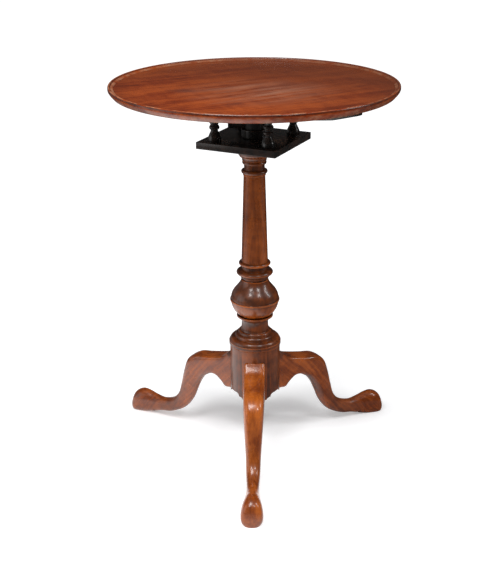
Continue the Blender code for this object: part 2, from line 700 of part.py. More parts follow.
def build_cage(levels, black, brass, cage):
    base = levels.plate
    half = CAGE_SIZE / 2
    slab = box((-half, -half, 0), (half, half, PLATE_THICKNESS), PLATE_EDGE)
    plate = make_object("cage_plate", slab, black, cage)
    block = make_object("cage_block", block_mesh(), black, cage, (0, 0, levels.block - base))
    pintles = bmesh.new()
    pintle_end = half + PINTLE_LENGTH
    add_rod(pintles, PINTLE_RADIUS, (0, -pintle_end, 0), (0, pintle_end, 0), PIN_FACETS)
    axis = (levels.hinge_x, 0, levels.pintle - base)
    add_boolean(block, make_cutter("pintle_pair", pintles, cage, axis), "UNION")
    post_hole = POST_RADIUS + FIT
    through = PLATE_THICKNESS * 2
    drill(plate, [(post_hole, (0, 0, -through), (0, 0, through))], PILLAR_FACETS)
    socket_end = POST_END + POST_END_ROOM
    socket = rod_mesh(post_hole, -SEAT, socket_end)
    add_boolean(block, make_cutter("post_socket", socket, cage, block.location))
    spread = BALUSTER_SPREAD / 2
    tenon_hole = TENON_RADIUS + FIT
    tenon_depth = TENON_LENGTH + TENON_END_ROOM
    plate_holes = bmesh.new()
    block_holes = bmesh.new()
    corners = [(-1, -1), (1, -1), (1, 1), (-1, 1)]
    for number, (side_x, side_y) in enumerate(corners, start=1):
        x = side_x * spread
        y = side_y * spread
        top = (x, y, PLATE_THICKNESS + SEAT)
        add_rod(plate_holes, tenon_hole, (x, y, PLATE_THICKNESS - tenon_depth), top, BALUSTER_FACETS)
        add_rod(block_holes, tenon_hole, (x, y, -SEAT), (x, y, tenon_depth), BALUSTER_FACETS)
        foot = (x, y, levels.baluster - base)
        shape = spun(baluster_outline(), BALUSTER_FACETS)
        make_object(f"baluster_{number}", shape, black, cage, foot)
    add_boolean(plate, make_cutter("plate_tenon_holes", plate_holes, cage))
    add_boolean(block, make_cutter("block_tenon_holes", block_holes, cage, block.location))
    build_keeper(levels, block, brass, cage)


def rod_mesh(radius, low, high):
    bm = bmesh.new()
    add_rod(bm, radius, (0, 0, low), (0, 0, high), PILLAR_FACETS)
    return bm


def block_mesh():
    """The cage's upper block: its pintle edge is a half round, so that the top can turn about it."""
    half = CAGE_SIZE / 2
    round_edge = BLOCK_THICKNESS / 2
    outline = [(half, 0.0), (half, BLOCK_THICKNESS)]
    steps = PIN_FACETS // 2
    for index in range(steps + 1):
        turn = math.pi / 2 + index / steps * math.pi
        x = -half + round_edge * (1 + math.cos(turn))
        outline.append((x, round_edge * (1 + math.sin(turn))))
    bm = extruded(outline, CAGE_SIZE)
    upright = Matrix.Rotation(math.radians(90), 4, "X")
    bmesh.ops.transform(bm, matrix=Matrix.Translation((0, half, 0)) @ upright, verts=bm.verts)
    return bm


def build_keeper(levels, block, brass, cage):
    """Brass keeper on the block's front edge, with the hole that takes the bolt."""
    base = levels.plate
    edge = CAGE_SIZE / 2 + SEAT
    height = levels.bolt - base
    low = (0, -KEEPER_WIDTH / 2, -KEEPER_HEIGHT / 2)
    high = (KEEPER_THICKNESS, KEEPER_WIDTH / 2, KEEPER_HEIGHT / 2)
    keeper = make_object("keeper_plate", box(low, high), brass, cage, (edge, 0, height))
    bolt_hole = BOLT_RADIUS + 2 * FIT
    thick = KEEPER_THICKNESS
    holes = [(bolt_hole, (-thick, 0, 0), (2 * thick, 0, 0))]
    depth = BOLT_THROW + BOLT_END_ROOM
    side = KEEPER_SCREW_SPREAD / 2
    block_height = height - (levels.block - base)
    half = CAGE_SIZE / 2
    block_holes = [(bolt_hole, (half - depth, 0, block_height), (half + SEAT, 0, block_height))]
    screw = screw_outline(
        CATCH_SCREW_HEAD, CATCH_SCREW_HEAD_HEIGHT, CATCH_SCREW_RADIUS, KEEPER_SCREW_LENGTH
    )
    head_face = levels.keeper_face + SEAT + CATCH_SCREW_HEAD_HEIGHT
    for number, y in enumerate((-side, side), start=1):
        hole = CATCH_SCREW_RADIUS + FIT
        holes.append((hole, (-thick, y, 0), (2 * thick, y, 0)))
        end = half - KEEPER_SCREW_LENGTH
        block_holes.append((hole, (end, y, block_height), (half + SEAT, y, block_height)))
        turn = (0, math.radians(-90), 0)
        place = (head_face, y, height)
        make_object(f"keeper_screw_{number}", spun(screw, SMALL_FACETS), brass, cage, place, turn)
    drill(keeper, holes, SMALL_FACETS * 2)
    drill(block, block_holes, SMALL_FACETS * 2)


def top_outline():
    """Half section of the dished top, its underside at z = 0."""
    edge_steps = 5
    slope_steps = 3
    cove_steps = 2
    field = TOP_THICKNESS - DISH_DEPTH
    crest_low = TOP_THICKNESS - RIM_CREST_EDGE
    round_top = crest_low - TOP_EDGE_BAND
    points = [(0.0, 0.0)]
    for index in range(edge_steps + 1):
        turn = index / edge_steps * math.pi / 2
        radius = TOP_RADIUS - TOP_EDGE_RUN * (1 - math.sin(turn))
        points.append((radius, round_top * (1 - math.cos(turn))))
    points.append((TOP_RADIUS, crest_low))
    inner = TOP_RADIUS - RIM_CREST
    points.append((TOP_RADIUS - RIM_CREST_EDGE, TOP_THICKNESS))
    points.append((inner + RIM_CREST_EDGE, TOP_THICKNESS))
    for index in range(slope_steps + 1):
        fall = math.sin(index / slope_steps * math.pi / 2)
        points.append((inner - RIM_SLOPE * fall**2, crest_low - RIM_SLOPE_DROP * fall))
    cove = inner - RIM_SLOPE - RIM_STEP
    for index in range(cove_steps + 1):
        share = index / cove_steps
        points.append((cove - RIM_COVE * share, field + RIM_COVE_DROP * (1 - share) ** 2))
    points.append((0.0, field))
    return points


def build_top(levels, wood, hinge):
    """The top, in the frame of the pintle axis."""
    lift = levels.underside - levels.pintle
    place = (-levels.hinge_x, 0, lift)
    top = make_object("table_top", spun(top_outline(), TOP_FACETS), wood, hinge, place)
    holes = []
    for side in (-1, 1):
        y = side * (levels.cleat_inner + CLEAT_WIDTH / 2)
        for x in CLEAT_SCREW_SPREAD:
            holes.append((CLEAT_SCREW_RADIUS + FIT, (x, y, -SEAT), (x, y, CLEAT_SCREW_BITE + SEAT)))
    for x, y in catch_screw_places(levels):
        holes.append((CATCH_SCREW_RADIUS + FIT, (x, y, -SEAT), (x, y, CATCH_SCREW_BITE + SEAT)))
    drill(top, holes, SMALL_FACETS)


def cleat_depth(x):
    """Depth of a cleat at a distance along it from its middle."""
    along = abs(x)
    nose_start = CLEAT_HALF_LENGTH - CLEAT_NOSE
    if along <= CLEAT_FLAT:
        return CLEAT_DEPTH
    if along <= nose_start:
        share = (along - CLEAT_FLAT) / (nose_start - CLEAT_FLAT)
        return CLEAT_DEPTH + (CLEAT_NOSE_DEPTH - CLEAT_DEPTH) * share
    share = (along - nose_start) / CLEAT_NOSE
    return CLEAT_NOSE_DEPTH + (CLEAT_TIP_DEPTH - CLEAT_NOSE_DEPTH) * share


def cleat_width(x):
    """Width of a cleat at a distance along it; the ends are rounded like a bow."""
    share = max(abs(x) - CLEAT_HALF_LENGTH + CLEAT_BOW, 0.0) / CLEAT_BOW
    round_off = math.sqrt(max(1 - share * share, 0.0))
    return CLEAT_TIP_WIDTH + (CLEAT_WIDTH - CLEAT_TIP_WIDTH) * round_off


def cleat_section(x, side, inner):
    """Points of one cross section, from the inner upper edge round to the outer upper edge."""
    depth = cleat_depth(x)
    width = cleat_width(x)
    bend = min(CLEAT_ROUND, CLEAT_ROUND_LIMIT * depth, CLEAT_ROUND_LIMIT * width)
    points = [(x, side * inner, -SEAT), (x, side * inner, -SEAT - depth)]
    steps = 3
    for index in range(steps + 1):
        turn = index / steps * math.pi / 2
        y = inner + width - bend + bend * math.sin(turn)
        z = -SEAT - depth + bend - bend * math.cos(turn)
        points.append((x, side * y, z))
    points.append((x, side * (inner + width), -SEAT))
    return points


def cleat_mesh(side, inner):
    nose_start = CLEAT_HALF_LENGTH - CLEAT_NOSE
    bow_start = CLEAT_HALF_LENGTH - CLEAT_BOW
    half = [CLEAT_FLAT, bow_start, nose_start]
    nose_steps = 5
    for index in range(1, nose_steps + 1):
        half.append(nose_start + CLEAT_NOSE * math.sin(index / nose_steps * math.pi / 2))
    stations = [-x for x in reversed(half)] + half
    bm = bmesh.new()
    rows = [[bm.verts.new(point) for point in cleat_section(x, side, inner)] for x in stations]
    for low, high in zip(rows, rows[1:]):
        for index in range(len(low)):
            follow = (index + 1) % len(low)
            bm.faces.new((low[index], low[follow], high[follow], high[index]))
    bm.faces.new(rows[0])
    bm.faces.new(rows[-1])
    return bm


def build_cleats(levels, black, iron, hinge):
    lift = levels.underside - levels.pintle
    place = Vector((-levels.hinge_x, 0, lift))
    hole = levels.cleat_inner + PINTLE_LENGTH + SWING
    length = CLEAT_SCREW_BITE
    screw_place = []
    for side, name in ((-1, "near"), (1, "far")):
        shape = cleat_mesh(side, levels.cleat_inner)
        cleat = make_object(f"cleat_{name}", shape, black, hinge, place)
        pin_start = (levels.hinge_x, side * (levels.cleat_inner - SWING), -lift)
        pin_end = (levels.hinge_x, side * hole, -lift)
        pins = bmesh.new()
        add_rod(pins, PINTLE_RADIUS + FIT, pin_start, pin_end, PIN_FACETS)
        add_boolean(cleat, make_cutter(f"cleat_{name}_pintle_hole", pins, hinge, place))
        y = side * (levels.cleat_inner + CLEAT_WIDTH / 2)
        holes = bmesh.new()
        for number, x in enumerate(CLEAT_SCREW_SPREAD, start=1):
            depth = cleat_depth(x)
            head = -SEAT - depth + CLEAT_SCREW_SINK
            add_stepped_hole(holes, (x, y), -2 * depth, head + SEAT + CLEAT_SCREW_HEAD_HEIGHT)
            screw_place.append((f"cleat_{name}_screw_{number}", (x, y, head), length - head))
        add_boolean(cleat, make_cutter(f"cleat_{name}_screw_holes", holes, hinge, place))
    for name, spot, reach in screw_place:
        outline = screw_outline(
            CLEAT_SCREW_HEAD, CLEAT_SCREW_HEAD_HEIGHT, CLEAT_SCREW_RADIUS, reach
        )
        make_object(name, spun(outline, SMALL_FACETS), iron, hinge, place + Vector(spot))


def add_stepped_hole(bm, spot, bottom, head_top):
    """Adds the hole for a sunk screw: wide up to the head's top, then narrow through the cleat."""
    wide = CLEAT_SCREW_HEAD + FIT
    narrow = CLEAT_SCREW_RADIUS + FIT
    outline = [(narrow, SEAT), (narrow, head_top), (wide, head_top), (wide, bottom)]
    part = spun(outline, SMALL_FACETS)
    bmesh.ops.translate(part, vec=(*spot, 0), verts=part.verts)
    bmesh.ops.recalc_face_normals(part, faces=part.faces)
    mesh = bpy.data.meshes.new("stepped_hole")
    part.to_mesh(mesh)
    part.free()
    bm.from_mesh(mesh)
    bpy.data.meshes.remove(mesh)


def catch_start(levels):
    """Distance of the catch plate's near end from the pillar axis."""
    return levels.keeper_face + CATCH_GAP


def catch_screw_places(levels):
    start = catch_start(levels)
    ends = (start + CATCH_SCREW_INSET, start + CATCH_PLATE_LENGTH - CATCH_SCREW_INSET)
    side = CATCH_PLATE_WIDTH / 2 - CATCH_SCREW_INSET
    return [(x, y) for x in ends for y in (-side, side)]


def build_catch(levels, brass, hinge):
    """Brass catch plate with its box, held by four screws to the top's underside."""
    lift = levels.underside - levels.pintle
    place = Vector((-levels.hinge_x, 0, lift))
    start = catch_start(levels)
    middle = start + CATCH_PLATE_LENGTH / 2
    half_width = CATCH_PLATE_WIDTH / 2
    thick = CATCH_PLATE_THICKNESS
    low = (start, -half_width, -SEAT - thick)
    high = (start + CATCH_PLATE_LENGTH, half_width, -SEAT)
    plate = make_object("catch_plate", box(low, high), brass, hinge, place)
    box_low = (middle - CATCH_BOX_LENGTH / 2, -CATCH_BOX_WIDTH / 2, -CATCH_BOX_HEIGHT)
    box_high = (middle + CATCH_BOX_LENGTH / 2, CATCH_BOX_WIDTH / 2, -SEAT - thick / 2)
    add_boolean(plate, make_cutter("catch_box", box(box_low, box_high), hinge, place), "UNION")
    reach = CATCH_BOX_LENGTH
    bore = [(BOLT_RADIUS + FIT, (middle - reach, 0, -BOLT_DROP), (middle + reach, 0, -BOLT_DROP))]
    drill(plate, bore, PIN_FACETS)
    holes = bmesh.new()
    screw_length = CATCH_SCREW_HEAD_HEIGHT + thick + SEAT * 2 + CATCH_SCREW_BITE
    outline = screw_outline(
        CATCH_SCREW_HEAD, CATCH_SCREW_HEAD_HEIGHT, CATCH_SCREW_RADIUS, screw_length
    )
    for number, (x, y) in enumerate(catch_screw_places(levels), start=1):
        add_rod(holes, CATCH_SCREW_RADIUS + FIT, (x, y, -2 * thick), (x, y, thick), SMALL_FACETS)
        head = -SEAT * 2 - thick - CATCH_SCREW_HEAD_HEIGHT
        spot = place + Vector((x, y, head))
        make_object(f"catch_screw_{number}", spun(outline, SMALL_FACETS), brass, hinge, spot)
    add_boolean(plate, make_cutter("catch_screw_holes", holes, hinge, place))
    build_bolt(levels, middle, brass, hinge)


def build_bolt(levels, middle, brass, hinge):
    """The bolt, drawn back, with its turned knob; it slides towards the keeper."""
    nose = levels.keeper_face + BOLT_STANDOFF
    knob = middle + CATCH_BOX_LENGTH / 2 + BOLT_TAIL
    length = knob - nose
    turning = Turning(0.0)
    turning.taper(BOLT_CHAMFER, BOLT_RADIUS - BOLT_CHAMFER, BOLT_RADIUS)
    turning.straight(length - BOLT_CHAMFER, BOLT_RADIUS)
    turning.bead(KNOB_LENGTH, BOLT_RADIUS, KNOB_RADIUS, 6)
    place = (nose - levels.hinge_x, 0, levels.bolt - levels.pintle)
    slide = make_empty("bolt_slide", hinge, place)
    turn = (0, math.radians(90), 0)
    make_object("catch_bolt", spun(turning.points, PIN_FACETS), brass, slide, (0, 0, 0), turn)


def main():
    clear_scene()
    mahogany = make_material("mahogany", (0.200, 0.052, 0.020), 0.28)
    ebonised = make_material("ebonised_wood", (0.012, 0.011, 0.011), 0.30)
    brass = make_material("brass", (0.560, 0.390, 0.140), 0.35, 1.0)
    iron = make_material("iron", (0.060, 0.055, 0.050), 0.60, 1.0)
    turning = pillar_turning()
    levels = Levels(turning.height)
    frame = make_empty("table_frame", location=(0, AXIS_Y, 0))
    cage = make_empty("cage_swivel", frame, (0, 0, levels.plate), (0, 0, CAGE_YAW))
    hinge = make_empty("top_hinge", cage, (levels.hinge_x, 0, levels.pintle - levels.plate))
    build_pillar(turning, levels, mahogany, frame)
    build_legs(mahogany, frame)
    build_brace(iron, frame)
    build_collar_and_wedge(levels, ebonised, frame)
    build_cage(levels, ebonised, brass, cage)
    build_top(levels, mahogany, hinge)
    build_cleats(levels, ebonised, iron, hinge)
    build_catch(levels, brass, hinge)


main()
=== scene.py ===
"""Looks of a tilt-top tea table: polished mahogany, an ebonised cage, a brass catch and an iron brace.

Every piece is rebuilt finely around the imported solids, in metres, in the same frame.
"""

import json
import logging
import math
from collections.abc import Iterable, Sequence
from dataclasses import dataclass, field
from enum import Enum
from typing import Any

import bmesh
import bpy
from mathutils import Matrix, Vector
from mathutils.geometry import interpolate_bezier

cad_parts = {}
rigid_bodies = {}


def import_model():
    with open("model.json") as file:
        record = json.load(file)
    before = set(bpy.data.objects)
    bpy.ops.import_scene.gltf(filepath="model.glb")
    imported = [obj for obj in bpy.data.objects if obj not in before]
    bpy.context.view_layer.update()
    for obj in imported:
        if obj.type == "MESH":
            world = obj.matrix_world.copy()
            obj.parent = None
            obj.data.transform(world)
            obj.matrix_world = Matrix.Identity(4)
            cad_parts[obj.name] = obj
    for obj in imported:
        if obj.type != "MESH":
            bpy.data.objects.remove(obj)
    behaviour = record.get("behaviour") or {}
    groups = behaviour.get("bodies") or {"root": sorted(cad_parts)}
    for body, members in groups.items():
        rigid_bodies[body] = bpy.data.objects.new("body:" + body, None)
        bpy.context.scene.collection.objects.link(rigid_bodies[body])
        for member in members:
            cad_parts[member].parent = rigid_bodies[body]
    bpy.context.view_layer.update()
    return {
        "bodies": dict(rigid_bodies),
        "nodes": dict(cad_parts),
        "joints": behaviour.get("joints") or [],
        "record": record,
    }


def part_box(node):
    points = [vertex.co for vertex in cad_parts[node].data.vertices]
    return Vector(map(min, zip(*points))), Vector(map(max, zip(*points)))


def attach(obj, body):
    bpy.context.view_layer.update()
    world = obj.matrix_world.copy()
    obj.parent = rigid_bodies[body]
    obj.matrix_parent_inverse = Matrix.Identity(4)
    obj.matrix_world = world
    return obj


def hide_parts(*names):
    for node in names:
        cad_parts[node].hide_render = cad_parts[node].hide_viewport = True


LOG = logging.getLogger("tea_table")

Point = tuple[float, float]
Triple = tuple[float, float, float]
Colour = Triple
Mesh = bmesh.types.BMesh
Material = bpy.types.Material
Socket = bpy.types.NodeSocket
Sockets = dict[str, Any]

SEAT = 0.0003             # gap between pieces that bear on each other
# the relief also carries painted light above 0 and painted shade below 0
RELIEF = "relief"         # vertex attribute: above 0 on edges, below 0 in grooves
SHARP_TURN = math.radians(24)
SMOOTH_ANGLE = math.radians(50)
ROUND_SHARE = 0.30        # most of a side that the round of its corner takes
GUARD_SHARE = 0.48        # most of a side up to the point that keeps the rest flat
HOLLOW_GAIN = 1.3         # how strongly hollows and crowns of a turning count as relief
CROWN_LIMIT = 0.35        # highest relief of a crown
CLOUDS = (0.35, 0.70)     # usual range of the cloudy polish


class Body(Enum):
    """The bodies that the joints move."""

    BASE = "base"
    CAGE = "cage"
    TOP = "top"
    BOLT = "catch_bolt"


class Slot(Enum):
    """Material slots of the record."""

    MAHOGANY = "mahogany"
    EBONISED = "ebonised_wood"
    BRASS = "brass"
    IRON = "iron"


class Cut(Enum):
    """Shapes that a turner's gouge and chisel leave."""

    FILLET = "fillet"     # upright band
    TAPER = "taper"       # straight line between two radii
    OVOLO = "ovolo"       # quarter ellipse, upright at its foot
    COVE = "cove"         # quarter ellipse, upright at its head
    BEAD = "bead"         # half ellipse that swells out
    SWEEP = "sweep"       # free curve with two handles


class Work(Enum):
    """What the tools of a carving do."""

    CUT = "DIFFERENCE"
    JOIN = "UNION"


@dataclass(frozen=True)
class Member:
    """One moulding of a turning.

    A sweep's pulls are (radius, share of the rise) of its two handles; the last field says how much darker
    the moulding is painted, 0 to 1: partly old wax, partly painted shade under the board and in the grooves.
    """

    cut: Cut
    rise: float
    low: float
    high: float = 0.0
    pulls: tuple[Point, ...] = ()
    wax_and_shade: float = 0.0


@dataclass
class Outline:
    """A turned outline that grows upwards, as (radius, height) points."""

    height: float
    steps: int = 12
    points: list[Point] = field(default_factory=list)
    bands: list[Triple] = field(default_factory=list)

    def step(self, radius: float) -> None:
        """Adds a point at the present height."""
        self.points.append((radius, self.height))

    def add(self, member: Member) -> None:
        """Adds one moulding on top of the last.

        Args:
            member: the moulding.
        """
        base = self.height
        self.height = base + member.rise
        self.bands.append((base, self.height, member.wax_and_shade))
        if member.cut is Cut.FILLET:
            self.points += [(member.low, base), (member.low, self.height)]
        elif member.cut is Cut.TAPER:
            self.points += [(member.low, base), (member.high, self.height)]
        elif member.cut is Cut.SWEEP:
            self.points += self._sweep(base, member)
        else:
            self.points += [self._arc(base, member, n / self.steps) for n in range(self.steps + 1)]

    @staticmethod
    def _arc(base: float, member: Member, share: float) -> Point:
        """Finds a point of an ovolo, cove or bead.

        Args:
            base: height of the moulding's foot.
            member: the moulding.
            share: share of its length, 0 to 1.

        Returns:
            The (radius, height) point.
        """
        gain = member.high - member.low
        if member.cut is Cut.BEAD:
            turn = share * math.pi
            height = base + member.rise / 2 * (1 - math.cos(turn))
            return (member.low + gain * math.sin(turn), height)
        turn = share * math.pi / 2
        if member.cut is Cut.OVOLO:
            return (member.high - gain * math.cos(turn), base + member.rise * math.sin(turn))
        return (member.low + gain * math.sin(turn), base + member.rise * (1 - math.cos(turn)))

    def _sweep(self, base: float, member: Member) -> list[Point]:
        """Finds the points of a free curve between two radii.

        Args:
            base: height of the moulding's foot.
            member: the moulding.

        Returns:
            The (radius, height) points, going up.
        """
        handles = [(member.low, 0.0), *member.pulls, (member.high, 1.0)]
        corners = [Vector((r, 0.0, base + member.rise * share)) for r, share in handles]
        return [(point.x, point.z) for point in interpolate_bezier(*corners, 2 * self.steps + 1)]


@dataclass(frozen=True)
class Layout:
    """Places that the pieces share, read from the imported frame."""

    axis: Vector
    cage: Matrix
    hinge_x: float
    pintle: float
    hub: float
    post_top: float
    plate: Point
    block: Point
    collar: Point
    wedge: Point
    board: Point
    bolt: Vector

    @classmethod
    def read(cls, frame: dict[str, Any]) -> "Layout":
        """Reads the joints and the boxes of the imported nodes.


        Returns:
            The shared places, heights as (low, high).
        """
        joints = {joint["name"]: joint for joint in frame["joints"]}
        axis = Vector((*joints["cage_swivel"]["pos_m"][:2], 0.0))
        out = -Vector(joints["catch_slide"]["axis"])
        turn = Matrix.Rotation(math.atan2(out.y, out.x), 4, "Z")
        cage = Matrix.Translation(axis) @ turn
        hinge = cage.inverted() @ Vector(joints["top_tilt"]["pos_m"])
        low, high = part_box("catch_bolt")
        bolt = cage.inverted() @ ((low + high) / 2)

        def span(node: str) -> Point:
            """Lowest and highest point of a node."""
            return (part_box(node)[0].z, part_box(node)[1].z)

        return cls(
            axis=axis,
            cage=cage,
            hinge_x=hinge.x,
            pintle=hinge.z,
            hub=span("pillar")[0],
            post_top=span("pillar")[1],
            plate=span("cage_plate"),
            block=span("cage_block"),
            collar=span("cage_collar"),
            wedge=span("wedge_key"),
            board=span("table_top"),
            bolt=bolt,
        )


def softened(points: Sequence[Point], radius: float, steps: int = 4) -> list[Point]:
    """Rounds the sharp corners of an outline.

    Args:
        points: the outline.
        radius: how far from the corner each round starts.
        steps: segments of each round.

    Returns:
        The outline with a small curve at each corner, and a point close to each end of it, so that
        the flat beside it stays flat in the shading.
    """
    result = [points[0]]
    for before, corner, after in zip(points, points[1:], points[2:]):
        here = Vector(corner)
        back = Vector(before) - here
        ahead = Vector(after) - here
        if min(back.length, ahead.length) < 1e-7:
            continue
        if back.angle(-ahead) < SHARP_TURN:
            result.append(corner)
            continue
        sides = []
        for side in (back, ahead):
            reach = min(radius, ROUND_SHARE * side.length)
            guard = min(3 * reach, GUARD_SHARE * side.length)
            sides.append((here + side.normalized() * reach, here + side.normalized() * guard))
        (start, start_guard), (end, end_guard) = sides
        result.append(tuple(start_guard))
        for index in range(steps + 1):
            share = index / steps
            curve = start * (1 - share) ** 2 + here * 2 * share * (1 - share) + end * share**2
            result.append(tuple(curve))
        result.append(tuple(end_guard))
    result.append(points[-1])
    return result


def turned(points: Sequence[Point], facets: int) -> Mesh:
    """Spins an outline about Z into a closed body.

    Args:
        points: (radius, height) points; an end off the axis is closed with a flat.
        facets: steps of the spin.

    Returns:
        The mesh, with its normals pointing out.
    """
    outline = list(points)
    if outline[0][0] > 0:
        outline.insert(0, (0.0, outline[0][1]))
    if outline[-1][0] > 0:
        outline.append((0.0, outline[-1][1]))
    bm = bmesh.new()
    verts = [bm.verts.new((radius, 0.0, height)) for radius, height in outline]
    edges = [bm.edges.new(pair) for pair in zip(verts, verts[1:])]
    bmesh.ops.spin(
        bm, geom=verts + edges, cent=(0, 0, 0), axis=(0, 0, 1), angle=math.tau, steps=facets,
        use_merge=True,
    )
    bmesh.ops.remove_doubles(bm, verts=bm.verts, dist=1e-6)
    bmesh.ops.recalc_face_normals(bm, faces=bm.faces)
    return bm


def prism(outline: Sequence[Point], rise: float) -> Mesh:
    """Extrudes a flat outline at z = 0 upwards.

    Args:
        outline: (x, y) points in order.
        rise: height of the prism.

    Returns:
        The closed mesh.
    """
    bm = bmesh.new()
    face = bm.faces.new([bm.verts.new((x, y, 0.0)) for x, y in outline])
    grown = bmesh.ops.extrude_face_region(bm, geom=[face])
    moved = [item for item in grown["geom"] if isinstance(item, bmesh.types.BMVert)]
    bmesh.ops.translate(bm, verts=moved, vec=(0, 0, rise))
    bmesh.ops.recalc_face_normals(bm, faces=bm.faces)
    return bm


def slab(low: Sequence[float], high: Sequence[float]) -> Mesh:
    """Makes a box.

    Args:
        low: its corner with the lowest x, y and z.
        high: the opposite corner.

    Returns:
        The closed mesh.
    """
    bm = bmesh.new()
    bmesh.ops.create_cube(bm, size=1.0)
    size = Vector(high) - Vector(low)
    bmesh.ops.scale(bm, vec=size, verts=bm.verts)
    bmesh.ops.translate(bm, vec=Vector(low) + size / 2, verts=bm.verts)
    return bm


def rod(radius: float, start: Sequence[float], end: Sequence[float], facets: int) -> Mesh:
    """Makes a round rod.

    Args:
        radius: its radius.
        start: the middle of one end.
        end: the middle of the other.
        facets: sides of the rod.

    Returns:
        The closed mesh.
    """
    bm = bmesh.new()
    run = Vector(end) - Vector(start)
    place = Matrix.Translation(Vector(start) + run / 2) @ run.to_track_quat("Z", "Y").to_matrix().to_4x4()
    bmesh.ops.create_cone(
        bm, cap_ends=True, segments=facets, radius1=radius, radius2=radius, depth=run.length, matrix=place
    )
    return bm


def rounded(bm: Mesh, width: float, segments: int = 3, least: float = math.radians(40)) -> None:
    """Bevels the edges of a mesh that turn by more than an angle.

    Args:
        bm: the mesh, changed in place.
        width: width of the bevel.
        segments: segments of the bevel.
        least: smallest angle between faces that counts as an edge.
    """
    edges = [edge for edge in bm.edges if edge.calc_face_angle(0.0) > least]
    bmesh.ops.bevel(
        bm, geom=edges, offset=width, offset_type="OFFSET", segments=segments, profile=0.5,
        affect="EDGES", material=-1, clamp_overlap=True,
    )


def carved(bm: Mesh, tools: Iterable[Mesh], work: Work = Work.CUT) -> Mesh:
    """Cuts closed shapes out of a closed shape, or joins them to it.

    Args:
        bm: the shape that is worked, used up.
        tools: the shapes that cut or join, used up.
        work: whether they cut or join.

    Returns:
        The worked shape.
    """
    target = loose_object("carve_target", bm)
    helpers = [target]
    for tool in tools:
        helper = loose_object("carve_tool", tool)
        helpers.append(helper)
        modifier = target.modifiers.new("carve", "BOOLEAN")
        modifier.operation = work.value
        modifier.solver = "EXACT"
        modifier.object = helper
    bpy.context.view_layer.update()
    evaluated = target.evaluated_get(bpy.context.evaluated_depsgraph_get())
    result = bmesh.new()
    result.from_mesh(evaluated.data)
    for helper in helpers:
        mesh = helper.data
        bpy.data.objects.remove(helper)
        bpy.data.meshes.remove(mesh)
    return result


def linked(name: str, data: bpy.types.ID) -> bpy.types.Object:
    """Puts a mesh, lamp or camera into the scene.

    Args:
        name: name of the object.
        data: what the object shows.

    Returns:
        The object.
    """
    obj = bpy.data.objects.new(name, data)
    bpy.context.scene.collection.objects.link(obj)
    return obj


def loose_object(name: str, bm: Mesh) -> bpy.types.Object:
    """Puts a worked mesh into the scene as a plain object.

    Args:
        name: name of the object and its mesh.
        bm: the mesh, used up.

    Returns:
        The object.
    """
    bmesh.ops.recalc_face_normals(bm, faces=bm.faces)
    mesh = bpy.data.meshes.new(name)
    bm.to_mesh(mesh)
    bm.free()
    return linked(name, mesh)


def moved(bm: Mesh, place: Matrix) -> Mesh:
    """Moves a mesh by a matrix and hands it back."""
    bmesh.ops.transform(bm, matrix=place, verts=bm.verts)
    return bm


def rotation(degrees: float, axis: str) -> Matrix:
    """Turn about an axis through the origin."""
    return Matrix.Rotation(math.radians(degrees), 4, axis)


def turns(steps: int, start: float = 0.0, sweep: float = math.pi / 2) -> list[float]:
    """Angles in equal steps over a sweep, which is a quarter turn if none is given."""
    return [start + index / steps * sweep for index in range(steps + 1)]


def lofted(sections: Sequence[Sequence[Vector]]) -> Mesh:
    """Stretches a skin over sections and closes its two ends.

    Args:
        sections: rings of points, each with as many points as the others.

    Returns:
        The closed mesh.
    """
    bm = bmesh.new()
    loops = []
    for points in sections:
        ring = bmesh.ops.create_circle(bm, segments=len(points), radius=1.0)["verts"]
        for vert, point in zip(ring, points):
            vert.co = point
        loops.append(list(dict.fromkeys(edge for vert in ring for edge in vert.link_edges)))
    for low, high in zip(loops, loops[1:]):
        bmesh.ops.bridge_loops(bm, edges=low + high)
    for loop in (loops[0], loops[-1]):
        bmesh.ops.contextual_create(bm, geom=loop)
    bmesh.ops.recalc_face_normals(bm, faces=bm.faces)
    return bm


def relief_layer(bm: Mesh) -> Any:
    """Layer of the vertices' relief, made if there is none yet."""
    return bm.verts.layers.float.get(RELIEF) or bm.verts.layers.float.new(RELIEF)


def mark_relief(bm: Mesh, bend: float = 0.0012, passes: int = 2) -> None:
    """Stores on each vertex how sharply the surface bends out or in there.

    Args:
        bm: mesh whose normals point out.
        bend: radius of a bend that counts as fully sharp.
        passes: rounds of smoothing over neighbouring vertices.
    """
    layer = relief_layer(bm)
    for edge in bm.edges:
        if len(edge.link_faces) != 2:
            continue
        first, second = edge.link_faces
        gap = (first.calc_center_median() - second.calc_center_median()).length
        sharp = edge.calc_face_angle_signed(0.0) / max(gap, 1e-5) * bend
        for vert in edge.verts:
            if abs(sharp) > abs(vert[layer]):
                vert[layer] = max(-1.0, min(1.0, sharp))
    for _ in range(passes):
        mean = [
            sum(edge.other_vert(vert)[layer] for edge in vert.link_edges) / max(len(vert.link_edges), 1)
            for vert in bm.verts
        ]
        for vert, value in zip(bm.verts, mean):
            vert[layer] = (vert[layer] + value) / 2


